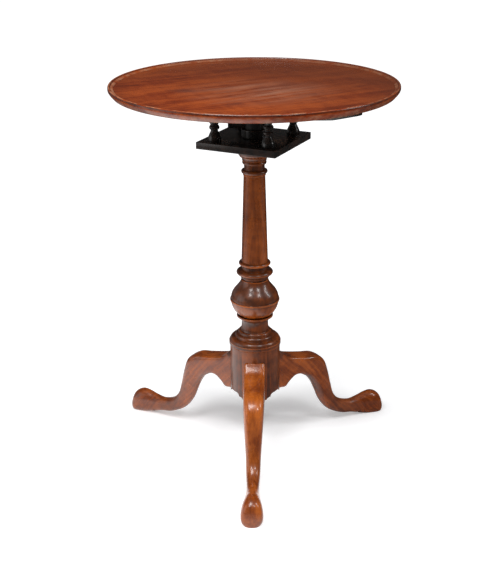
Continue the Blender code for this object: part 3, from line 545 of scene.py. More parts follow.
def mark_hollows(bm: Mesh, outline: Outline, reach: float) -> None:
    """Stores on each vertex of a turning how far it lies inside or outside its neighbourhood, less the
    painted darkening of its moulding.

    Args:
        bm: the turning, about Z.
        outline: its outline, going up, with how much darker each moulding is painted.
        reach: how far up and down the neighbourhood goes.
    """
    layer = relief_layer(bm)
    known: dict[float, tuple[float, float]] = {}
    for vert in bm.verts:
        height = round(vert.co.z, 5)
        if height not in known:
            area = 0.0
            length = 0.0
            for (first, low), (second, high) in zip(outline.points, outline.points[1:]):
                start = max(low, height - reach)
                end = min(high, height + reach)
                if end > start:
                    share = ((start + end) / 2 - low) / (high - low)
                    area += (end - start) * (first + (second - first) * share)
                    length += end - start
            mean = area / length if length else vert.co.xy.length
            known[height] = (mean, sum(wax_and_shade for low, high, wax_and_shade in outline.bands if low < height <= high))
        mean, wax_and_shade = known[height]
        height_out = HOLLOW_GAIN * (vert.co.xy.length - mean) / reach
        # hollows and each moulding's painted darkening push the relief down, into painted shade
        vert[layer] = max(-1.0, min(CROWN_LIMIT, height_out) - wax_and_shade)


@dataclass(frozen=True)
class Piece:
    """What a finished mesh is called, what it rides on and what it stands for."""

    name: str
    body: Body
    slot: Slot
    nodes: tuple[str, ...]

    def finish(self, bm: Mesh, *materials: Material) -> bpy.types.Object:
        """Turns a mesh into a piece of the table.

        Args:
            bm: the mesh in its place in the row frame, used up.
            materials: materials of the mesh's material numbers.

        Returns:
            The object, which rides on its body.
        """
        bmesh.ops.recalc_face_normals(bm, faces=bm.faces)
        mark_relief(bm)
        obj = loose_object(self.name, bm)
        obj.data.shade_smooth()
        obj.data.set_sharp_from_angle(angle=SMOOTH_ANGLE)
        for material in materials:
            obj.data.materials.append(material)
        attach(obj, self.body.value)
        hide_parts(*self.nodes)
        LOG.info("%s on %s: %d faces", self.name, self.body.value, len(obj.data.polygons))
        return obj


class NodeSketch:
    """Adds and links the nodes of one tree with short calls."""

    def __init__(self, tree: bpy.types.NodeTree) -> None:
        """Keeps the tree that is drawn on."""
        self.tree = tree

    def add(self, kind: str, inputs: dict[Any, Any] | None = None, **settings: Any) -> bpy.types.Node:
        """Adds a node.

        Args:
            kind: the node's type.
            inputs: by socket name or number, a value to set or a socket to link.
            settings: properties of the node.

        Returns:
            The node.
        """
        node = self.tree.nodes.new(kind)
        for name, value in settings.items():
            setattr(node, name, value)
        self.fill(node, inputs or {})
        return node

    def fill(self, node: bpy.types.Node, inputs: dict[Any, Any]) -> None:
        """Feeds several inputs of a node, by their names or numbers."""
        for key, value in inputs.items():
            self.feed(node.inputs[key], value)

    def feed(self, socket: Socket, value: Any) -> None:
        """Feeds one input.

        Args:
            socket: the input.
            value: an output to link, or a value to set.
        """
        if isinstance(value, Socket):
            self.tree.links.new(value, socket)
        else:
            socket.default_value = value

    def math(self, operation: str, first: Any, second: Any = 0.0, clamp: bool = False) -> Socket:
        """Works out one value from two."""
        node = self.add("ShaderNodeMath", {0: first, 1: second}, operation=operation, use_clamp=clamp)
        return node.outputs[0]

    def times(self, first: Any, second: Any, clamp: bool = False) -> Socket:
        """Multiplies two values."""
        return self.math("MULTIPLY", first, second, clamp)

    def stretch(self, vector: Any, factors: Sequence[float]) -> Socket:
        """Multiplies a vector by a factor for each axis."""
        node = self.add("ShaderNodeVectorMath", {0: vector, 1: tuple(factors)}, operation="MULTIPLY")
        return node.outputs[0]

    def turn(self, vector: Any, angles: Sequence[float]) -> Socket:
        """Turns a vector about the three axes."""
        return self.add("ShaderNodeMapping", {"Vector": vector, "Rotation": angles}).outputs[0]

    def oval(self, place: Any, centre: Point, size: Point) -> Socket:
        """Measures how far a place lies from an oval's centre, as seen from above.

        Args:
            place: the place, as a vector.
            centre: the oval's centre.
            size: its half widths along X and Y.

        Returns:
            The distance, which is 1 on the oval.
        """
        (x, y), (wide, deep) = centre, size
        shift = (-x / wide, -y / deep, 0.0)
        inputs = {"Vector": place, "Location": shift, "Scale": (1 / wide, 1 / deep, 0.0)}
        near = self.add("ShaderNodeMapping", inputs).outputs[0]
        return self.add("ShaderNodeVectorMath", {0: near}, operation="LENGTH").outputs["Value"]

    def noise(self, vector: Any, scale: float, detail: float = 2.0, rough: float = 0.5) -> Socket:
        """Adds a noise and gives its value."""
        inputs = {"Vector": vector, "Scale": scale, "Detail": detail, "Roughness": rough}
        return self.add("ShaderNodeTexNoise", inputs).outputs["Fac"]

    def spread(self, value: Any, low: float, high: float, start: float = 0.0, end: float = 1.0) -> Socket:
        """Maps a range of values to another, clamped."""
        inputs = {"Value": value, "From Min": low, "From Max": high, "To Min": start, "To Max": end}
        return self.add("ShaderNodeMapRange", inputs, clamp=True).outputs["Result"]

    def ramp(self, value: Any, stops: Sequence[tuple[float, Colour]]) -> Socket:
        """Turns a value into a colour.

        Args:
            value: the value, 0 to 1.
            stops: places of the ramp, going up, with their colours.

        Returns:
            The colour.
        """
        node = self.add("ShaderNodeValToRGB", {"Fac": value})
        marks = node.color_ramp.elements
        while len(marks) < len(stops):
            marks.new(0.5)
        for mark, (place, colour) in zip(marks, stops):
            mark.position = place
            mark.color = (*colour, 1.0)
        return node.outputs["Color"]

    def mix(self, share: Any, first: Any, second: Any) -> Socket:
        """Mixes two colours.

        Args:
            share: share of the second colour, 0 to 1.
            first: a colour or an output.
            second: a colour or an output.

        Returns:
            The mixed colour.
        """
        node = self.add("ShaderNodeMix", {0: share}, data_type="RGBA")
        for index, colour in ((6, first), (7, second)):
            self.feed(node.inputs[index], colour if isinstance(colour, Socket) else (*colour, 1.0))
        return node.outputs[2]

    def bump(self, shader: bpy.types.Node, height: Any, strength: float, distance: float) -> None:
        """Roughens a shader's surface by a height."""
        node = self.add("ShaderNodeBump", {"Strength": strength, "Distance": distance, "Height": height})
        self.feed(shader.inputs["Normal"], node.outputs[0])


class EffectGroups:
    """Shader node groups that several finishes share, each built once.

    A layer of the grain has its waves per metre along each axis, its detail and its roughness.
    """

    grain = {
        "Bands": ((2.6, 30.0, 30.0), 3.0, 0.55),
        "Streaks": ((9.0, 230.0, 230.0), 4.0, 0.6),
        "Ripple": ((62.0, 16.0, 16.0), 3.0, 0.6),
    }
    pores: Triple = (110.0, 1500.0, 1500.0)
    pore_range: Point = (0.60, 0.72)
    stray: Triple = (0.0, 0.055, 0.055)
    groove_gain: float = -2.6
    edge_gain: float = 1.7
    scratch_turn: Triple = (0.3, 0.2, 0.7)
    scratches: Triple = (14.0, 700.0, 300.0)

    def __init__(self) -> None:
        """Builds both groups."""
        self.figure = self._figure()
        self.age = self._age()

    @staticmethod
    def _open(
        name: str, inputs: Sequence[tuple[str, str]], outputs: Sequence[str]
    ) -> tuple[NodeSketch, Any, Any]:
        """Starts a group with its sockets.

        Args:
            name: the group's name.
            inputs: (name, socket type) of each input.
            outputs: names of the value outputs.

        Returns:
            A sketch of the tree, its input node and its output node.
        """
        tree = bpy.data.node_groups.new(name, "ShaderNodeTree")
        for label, kind in inputs:
            tree.interface.new_socket(name=label, in_out="INPUT", socket_type=kind)
        for label in outputs:
            tree.interface.new_socket(name=label, in_out="OUTPUT", socket_type="NodeSocketFloat")
        sketch = NodeSketch(tree)
        return sketch, sketch.add("NodeGroupInput"), sketch.add("NodeGroupOutput")

    def _figure(self) -> bpy.types.NodeTree:
        """Draws the grain of sawn wood, which runs along X.

        Returns:
            A group that gives broad bands, streaks, cross ripple and pores.
        """
        outputs = (*self.grain, "Pores")
        sketch, source, sink = self._open("wood_figure", [("Vector", "NodeSocketVector")], outputs)
        plain = source.outputs["Vector"]
        wander = sketch.add("ShaderNodeTexNoise", {"Vector": plain, "Scale": 5.0, "Detail": 2.0})
        inputs = {0: wander.outputs["Color"], 1: (0.5, 0.5, 0.5)}
        shift = sketch.add("ShaderNodeVectorMath", inputs, operation="SUBTRACT")
        inputs = {0: shift.outputs[0], 1: self.stray, 2: plain}
        bent = sketch.add("ShaderNodeVectorMath", inputs, operation="MULTIPLY_ADD").outputs[0]
        for name, (waves, detail, rough) in self.grain.items():
            sketch.feed(sink.inputs[name], sketch.noise(sketch.stretch(bent, waves), 1.0, detail, rough))
        pores = sketch.noise(sketch.stretch(bent, self.pores), 1.0, 1.0)
        sketch.feed(sink.inputs["Pores"], sketch.spread(pores, *self.pore_range))
        return sketch.tree

    def _age(self) -> bpy.types.NodeTree:
        """Draws the marks of use, with painted shade in grooves and painted highlights on edges.

        Returns:
            A group that gives grime with painted shade in grooves, rubbed edges with painted highlights,
            cloudy polish and fine scratches.
        """
        inputs = [("Vector", "NodeSocketVector"), ("Relief", "NodeSocketFloat")]
        outputs = ("Grime", "Rub", "Cloud", "Scratches")
        sketch, source, sink = self._open("age_marks", inputs, outputs)
        vector = source.outputs["Vector"]
        relief = source.outputs["Relief"]
        patches = sketch.noise(vector, 60.0, 4.0, 0.6)
        groove = sketch.times(relief, self.groove_gain, clamp=True)
        edge = sketch.times(relief, self.edge_gain, clamp=True)
        lines = sketch.noise(sketch.stretch(sketch.turn(vector, self.scratch_turn), self.scratches), 1.0, 1.0)
        broken = sketch.spread(sketch.noise(vector, 23.0, 2.0), 0.55, 0.70)
        marks = {
            # grooves and painted darkening give grime with painted shade; edges give rub, which the mahogany
            # paints as highlights
            "Grime": sketch.times(groove, sketch.spread(patches, 0.25, 0.65, 0.58, 1.0), clamp=True),
            "Rub": sketch.times(edge, sketch.spread(patches, 0.40, 0.70), clamp=True),
            "Cloud": sketch.noise(vector, 11.0, 4.0, 0.6),
            "Scratches": sketch.times(sketch.spread(lines, 0.70, 0.76), broken),
        }
        sketch.fill(sink, marks)
        return sketch.tree


@dataclass(frozen=True)
class Finish:
    """A surface finish; grain is the turn that brings the wood's grain onto X."""

    name: str
    grain: Triple = (0.0, 0.0, 0.0)

    def start(self, groups: EffectGroups) -> tuple[Material, NodeSketch, bpy.types.Node, Sockets]:
        """Starts a material with the shared effects placed in it.

        Args:
            groups: the shared node groups.

        Returns:
            The material, a sketch of its tree, its Principled node and the sockets to read from.
        """
        material = bpy.data.materials.new(self.name)
        material.use_nodes = True
        sketch = NodeSketch(material.node_tree)
        shader = material.node_tree.nodes["Principled BSDF"]
        place = sketch.add("ShaderNodeTexCoord").outputs["Object"]
        relief = sketch.add("ShaderNodeAttribute", attribute_name=RELIEF).outputs["Fac"]
        inputs = {"Vector": sketch.turn(place, self.grain)}
        figure = sketch.add("ShaderNodeGroup", inputs, node_tree=groups.figure)
        inputs = {"Vector": place, "Relief": relief}
        age = sketch.add("ShaderNodeGroup", inputs, node_tree=groups.age)
        sockets: Sockets = {"Place": place}
        sockets.update({output.name: output for output in (*figure.outputs, *age.outputs)})
        return material, sketch, shader, sockets


@dataclass(frozen=True)
class PolishedMahogany(Finish):
    """French polished mahogany with figure, grime and painted shade in grooves, and rubbed edges with painted
    highlights.
    """

    dark: Colour = (0.072, 0.0110, 0.0012)
    middle: Colour = (0.255, 0.0480, 0.0033)
    light: Colour = (0.480, 0.1020, 0.0075)
    # the near-black colour paints dirt and shade in grooves; the pale rub colour paints worn edges and their
    # highlights
    grime_and_shade: Colour = (0.012, 0.0045, 0.0030)
    rub_and_highlight: Colour = (0.380, 0.1600, 0.0700)
    tones: Triple = (0.34, 0.50, 0.65)
    streaks: float = 0.35
    bands: float = 0.575
    ripple: float = 0.20625
    mottle: float = 0.22
    pore_share: float = 0.55
    rub_share: float = 0.55
    grime_and_shade_share: float = 0.85
    gloss: float = 0.24
    gloss_range: Point = (-0.05, 0.10)
    grime_dulling: float = 0.08
    scratch_dulling: float = 0.15
    coat: float = 0.35
    coat_roughness: float = 0.10
    bump: float = 0.06
    bump_depth: float = 0.0006
    pore_depth: float = -0.6
    wave_height: float = 0.8

    def material(self, groups: EffectGroups) -> Material:
        """Builds the material.

        Args:
            groups: the shared node groups.

        Returns:
            The finished material.
        """
        material, sketch, shader, sockets = self.start(groups)
        inputs = {
            "Base Color": self.colour(sketch, sockets),
            "Roughness": self.roughness(sketch, sockets),
            "IOR": 1.5,
            "Coat Weight": self.coat,
            "Coat Roughness": self.coat_roughness,
        }
        sketch.fill(shader, inputs)
        pores = sketch.times(sockets["Pores"], self.pore_depth)
        waves = sketch.times(sketch.noise(sockets["Place"], 90.0, 2.0), self.wave_height)
        sketch.bump(shader, sketch.math("ADD", pores, waves), self.bump, self.bump_depth)
        return material

    def colour(self, sketch: NodeSketch, sockets: Sockets) -> Socket:
        """Colours the wood with its figure, the marks of age, painted shade in grooves and painted highlights
        on edges.

        Args:
            sketch: sketch of the material's tree.
            sockets: what the shared effects give.

        Returns:
            The colour.
        """
        fine = sketch.times(sockets["Streaks"], self.streaks)
        broad = sketch.times(sockets["Bands"], self.bands)
        ripple = sketch.times(sockets["Ripple"], self.ripple)
        mottle = sketch.times(sketch.math("SUBTRACT", sockets["Cloud"], 0.5), self.mottle)
        tone = sketch.math("ADD", sketch.math("ADD", fine, broad), sketch.math("ADD", ripple, mottle))
        wood = sketch.ramp(tone, list(zip(self.tones, (self.dark, self.middle, self.light))))
        wood = sketch.mix(sketch.times(sockets["Pores"], self.pore_share), wood, self.dark)
        # edges take the pale rub colour, partly painted highlight; grooves take the near-black colour, partly
        # painted shade
        wood = sketch.mix(sketch.times(sockets["Rub"], self.rub_share), wood, self.rub_and_highlight)
        return sketch.mix(sketch.times(sockets["Grime"], self.grime_and_shade_share), wood, self.grime_and_shade)

    def roughness(self, sketch: NodeSketch, sockets: Sockets) -> Socket:
        """Lets the gloss vary with cloudy polish, grime and scratches.

        Args:
            sketch: sketch of the material's tree.
            sockets: what the shared effects give.

        Returns:
            The roughness.
        """
        low, high = self.gloss_range
        cloudy = sketch.spread(sockets["Cloud"], *CLOUDS, self.gloss + low, self.gloss + high)
        dull = sketch.times(sockets["Grime"], self.grime_dulling)
        scuffed = sketch.times(sockets["Scratches"], self.scratch_dulling)
        return sketch.math("ADD", cloudy, sketch.math("ADD", dull, scuffed))


@dataclass(frozen=True)
class TopMahogany(PolishedMahogany):
    """The board's polish: painted lighter and warmer to the left and darker and browner to the right as
    painted shade, a painted sheen on worn polish in the middle, and scuffs.
    """

    dark: Colour = (0.080, 0.0105, 0.0016)
    middle: Colour = (0.222, 0.0305, 0.0042)
    light: Colour = (0.390, 0.0720, 0.0105)
    # the pale rub colour paints the floor's reflection on the rim's lower rounding and a highlight line on
    # its step
    rub_and_highlight: Colour = (0.560, 0.3000, 0.1700)
    coat: float = 0.14
    coat_roughness: float = 0.22
    rub_share: float = 0.90
    shade_slope: Triple = (0.5, 0.8, 0.0)
    warm_end: float = -0.14
    brown_end: float = 0.17
    brown_patches: float = 0.35
    brown_share: float = 0.70
    haze_centre: Point = (0.01, -0.035)
    haze_size: Point = (0.15, 0.13)
    haze_turn: Triple = (0.0, 0.0, math.radians(-34))
    haze_streaks: Triple = (7.0, 62.0, 1.0)
    sheen_share: float = 0.72
    haze_dulling: float = 0.10
    speck_share: float = 0.12
    stain_centre: Point = (-0.123, -0.020)
    stain_size: Point = (0.034, 0.016)
    brown: Colour = (0.110, 0.0260, 0.0095)
    haze_and_sheen: Colour = (0.370, 0.1750, 0.1100)
    stain: Colour = (0.060, 0.0190, 0.0170)
    speck: Colour = (0.420, 0.2500, 0.1700)

    def haze_and_sheen_mask(self, sketch: NodeSketch, sockets: Sockets) -> Socket:
        """Masks the worn polish in the middle, which also carries a painted sheen, broken into slanting
        streaks.

        Args:
            sketch: sketch of the material's tree.
            sockets: what the shared effects give.

        Returns:
            The mask.
        """
        slant = sketch.turn(sockets["Place"], self.haze_turn)
        streaks = sketch.noise(sketch.stretch(slant, self.haze_streaks), 1.0, 4.0, 0.6)
        inside = self.spot(sketch, sockets, self.haze_centre, self.haze_size)
        return sketch.times(inside, sketch.spread(streaks, 0.38, 0.72), clamp=True)

    @staticmethod
    def spot(sketch: NodeSketch, sockets: Sockets, centre: Point, size: Point) -> Socket:
        """Mask of a soft oval on the board, 1 in its middle."""
        return sketch.spread(sketch.oval(sockets["Place"], centre, size), 1.0, 0.2)

    def colour(self, sketch: NodeSketch, sockets: Sockets) -> Socket:
        """Lets the wood's colour turn darker and browner across the board as painted shade, with a painted
        sheen on the worn polish, a stain and pale specks.

        Args:
            sketch: sketch of the material's tree.
            sockets: what the shared effects give.

        Returns:
            The colour.
        """
        wood = super().colour(sketch, sockets)
        # painted shade: the board grows darker and browner towards the right and the back, with random brown
        # patches
        inputs = {0: sockets["Place"], 1: self.shade_slope}
        across = sketch.add("ShaderNodeVectorMath", inputs, operation="DOT_PRODUCT").outputs["Value"]
        uneven = sketch.times(sketch.math("SUBTRACT", sockets["Cloud"], 0.5), self.brown_patches)
        across = sketch.math("ADD", across, uneven)
        brown_and_shaded = sketch.spread(across, self.warm_end, self.brown_end, 0.0, self.brown_share)
        wood = sketch.mix(brown_and_shaded, wood, self.brown)
        stained = self.spot(sketch, sockets, self.stain_centre, self.stain_size)
        wood = sketch.mix(sketch.times(stained, sockets["Streaks"]), wood, self.stain)
        # painted sheen: the worn middle of the board is mixed towards a pale grey-brown
        wood = sketch.mix(sketch.times(self.haze_and_sheen_mask(sketch, sockets), self.sheen_share), wood, self.haze_and_sheen)
        return sketch.mix(sketch.times(sockets["Scratches"], self.speck_share), wood, self.speck)

    def roughness(self, sketch: NodeSketch, sockets: Sockets) -> Socket:
        """Duller where the polish is worn."""
        plain = super().roughness(sketch, sockets)
        return sketch.math("ADD", plain, sketch.times(self.haze_and_sheen_mask(sketch, sockets), self.haze_dulling))


@dataclass(frozen=True)
class ShadedLegMahogany(PolishedMahogany):
    """The rear legs' wood, painted a little darker than the pillar's as shade under the board; its grime and
    painted shade are dull.
    """

    dark: Colour = (0.055, 0.0080, 0.0012)
    middle: Colour = (0.190, 0.0350, 0.0036)
    light: Colour = (0.400, 0.0860, 0.0090)
    grime_dulling: float = 0.50


@dataclass(frozen=True)
class LitLegMahogany(PolishedMahogany):
    """The front leg's wood, painted lighter than the rear legs' where the key lamp falls on it."""

    dark: Colour = (0.080, 0.0120, 0.0016)
    middle: Colour = (0.265, 0.0520, 0.0050)
    light: Colour = (0.480, 0.1150, 0.0130)


@dataclass(frozen=True)
class RawMahogany(PolishedMahogany):
    """Unpolished wood of the hidden faces, dry and dusty."""

    dark: Colour = (0.045, 0.0190, 0.0100)
    middle: Colour = (0.105, 0.0450, 0.0230)
    light: Colour = (0.165, 0.0800, 0.0430)
    gloss: float = 0.62
    coat: float = 0.0


@dataclass(frozen=True)
class EbonisedWood(Finish):
    """Black stained wood, polished, rubbed to brown on its edges."""

    black: Colour = (0.0105, 0.0100, 0.0100)
    worn_black: Colour = (0.0220, 0.0175, 0.0150)
    brown: Colour = (0.0700, 0.0300, 0.0170)
    dust: Colour = (0.0600, 0.0560, 0.0520)
    gloss: float = 0.27
    gloss_range: Point = (-0.06, 0.14)
    rub_share: float = 0.70
    dust_share: float = 0.35
    dust_dulling: float = 0.3
    coat: float = 0.15
    coat_roughness: float = 0.12
    streak_height: float = 0.5
    bump: float = 0.10
    bump_depth: float = 0.0005

    def material(self, groups: EffectGroups) -> Material:
        """Builds the material.

        Args:
            groups: the shared node groups.

        Returns:
            The finished material.
        """
        material, sketch, shader, sockets = self.start(groups)
        colour = sketch.mix(sketch.spread(sockets["Streaks"], 0.35, 0.75), self.black, self.worn_black)
        colour = sketch.mix(sketch.times(sockets["Rub"], self.rub_share), colour, self.brown)
        colour = sketch.mix(sketch.times(sockets["Grime"], self.dust_share), colour, self.dust)
        low, high = self.gloss_range
        cloudy = sketch.spread(sockets["Cloud"], *CLOUDS, self.gloss + low, self.gloss + high)
        dusty = sketch.times(sockets["Grime"], self.dust_dulling)
        inputs = {
            "Base Color": colour,
            "Roughness": sketch.math("ADD", cloudy, dusty),
            "Coat Weight": self.coat,
            "Coat Roughness": self.coat_roughness,
        }
        sketch.fill(shader, inputs)
        streaks = sketch.times(sockets["Streaks"], self.streak_height)
        sketch.bump(shader, sketch.math("SUBTRACT", streaks, sockets["Pores"]), self.bump, self.bump_depth)
        return material


@dataclass(frozen=True)
class AgedMetal(Finish):
    """Metal that has tarnished in patches and in its grooves, and shines on its edges."""

    bright: Colour = (0.600, 0.420, 0.150)
    dull: Colour = (0.230, 0.140, 0.050)
    grime_and_shade: Colour = (0.030, 0.022, 0.014)
    low_rough: float = 0.24
    high_rough: float = 0.50
    metallic: float = 1.0
    grime_and_shade_share: float = 0.8
    bump: float = 0.08
    bump_depth: float = 0.0005

    def material(self, groups: EffectGroups) -> Material:
        """Builds the material.

        Args:
            groups: the shared node groups.

        Returns:
            The finished material.
        """
        material, sketch, shader, sockets = self.start(groups)
        patches = sketch.spread(sketch.noise(sockets["Place"], 160.0, 5.0, 0.65), 0.35, 0.68)
        kept = sketch.times(patches, sketch.math("SUBTRACT", 1.0, sockets["Rub"]))
        colour = sketch.mix(kept, self.bright, self.dull)
        inputs = {
            "Base Color": sketch.mix(sketch.times(sockets["Grime"], self.grime_and_shade_share), colour, self.grime_and_shade),
            "Metallic": self.metallic,
            "Roughness": sketch.spread(kept, 0.0, 1.0, self.low_rough, self.high_rough),
        }
        sketch.fill(shader, inputs)
        sketch.bump(shader, sketch.noise(sockets["Place"], 420.0, 3.0), self.bump, self.bump_depth)
        return material


class Palette:
    """All the materials of the table."""

    def __init__(self) -> None:
        """Builds the shared groups and each finish once."""
        groups = EffectGroups()
        upright = (0.0, math.radians(90), 0.0)
        self.board = TopMahogany("board_mahogany", (0.0, 0.0, math.radians(-28))).material(groups)
        self.board_back = RawMahogany("board_underside").material(groups)
        self.pillar = PolishedMahogany("pillar_mahogany", upright).material(groups)
        # the rear legs take a darker copy of the wood as painted shade, the front leg a lighter copy as
        # painted light
        self.legs = {
            name: ShadedLegMahogany(f"{name}_mahogany", leg_grain(azimuth)).material(groups)
            for name, azimuth in CabrioleLegs.azimuths.items()
            if name != "leg_front"
        }
        front = CabrioleLegs.azimuths["leg_front"]
        self.legs["leg_front"] = LitLegMahogany("faded_mahogany", leg_grain(front)).material(groups)
        self.raw_base = RawMahogany("hub_underside").material(groups)
        self.ebonised = EbonisedWood("ebonised").material(groups)
        self.ebonised_upright = EbonisedWood("ebonised_turnings", upright, gloss=0.22).material(groups)
        self.brass = AgedMetal("aged_brass").material(groups)
        self.iron = AgedMetal(
            "forged_iron", bright=(0.110, 0.100, 0.092), dull=(0.060, 0.038, 0.026),
            grime_and_shade=(0.020, 0.012, 0.008), low_rough=0.46, high_rough=0.78, bump=0.22,
        ).material(groups)


def leg_grain(azimuth: float) -> Triple:
    """Turn that brings a leg's grain, which slopes down to its foot, onto X.

    Args:
        azimuth: direction of the leg in degrees.

    Returns:
        Angles for a Mapping node.
    """
    slope = math.radians(48)
    turn = Matrix.Rotation(-slope, 3, "Y") @ Matrix.Rotation(-math.radians(azimuth), 3, "Z")
    return tuple(turn.to_euler())


@dataclass
class Fasteners:
    """Slotted screws and hand made nails.

    The points of a head are shares of its radius and height.
    """

    facets: int = 28
    nail_facets: int = 7
    screw_face: Point = (0.82, 0.0)
    screw_chamfer: Point = (1.0, 0.30)
    screw_rim: Point = (1.0, 0.50)
    screw_round: float = 0.15
    slot_share: float = 0.20
    slot_depth: float = 0.45
    nail_crown: Point = (0.55, 0.10)
    nail_rim: Point = (1.0, 0.65)
    nail_under: Point = (0.94, 1.0)

    def screw(self, radius: float, height: float, shank: float, length: float) -> Mesh:
        """A slotted screw that points up, with its head's face at z = 0.

        Args:
            radius: radius of the head.
            height: height of the head.
            shank: radius of the shank.
            length: length over all.

        Returns:
            The mesh.
        """
        head = (self.screw_face, self.screw_chamfer, self.screw_rim)
        outline = [(0.0, 0.0), *((radius * wide, height * up) for wide, up in head)]
        outline += [(shank, height), (shank, length - shank), (0.0, length)]
        body = turned(softened(outline, height * self.screw_round, 2), self.facets)
        half = radius * self.slot_share / 2
        groove = slab((-2 * radius, -half, -height), (2 * radius, half, height * self.slot_depth))
        return carved(body, [groove])

    def nail(self, radius: float, height: float, shank: float, length: float) -> Mesh:
        """A nail with a hammered head that points up, its head's crown at z = 0.

        Args:
            radius: radius of the head.
            height: height of the head.
            shank: radius of the shank.
            length: length over all.

        Returns:
            The mesh.
        """
        head = (self.nail_crown, self.nail_rim, self.nail_under)
        outline = [(0.0, 0.0), *((radius * wide, height * up) for wide, up in head)]
        outline += [(shank, height), (shank, length - shank), (0.0, length)]
        return turned(outline, self.nail_facets)


@dataclass
class Assembly:
    """A group of pieces that are built together, with what all groups share."""

    layout: Layout
    palette: Palette
    fasteners: Fasteners

    def build(self) -> None:
        """Builds the group's pieces."""
        raise NotImplementedError


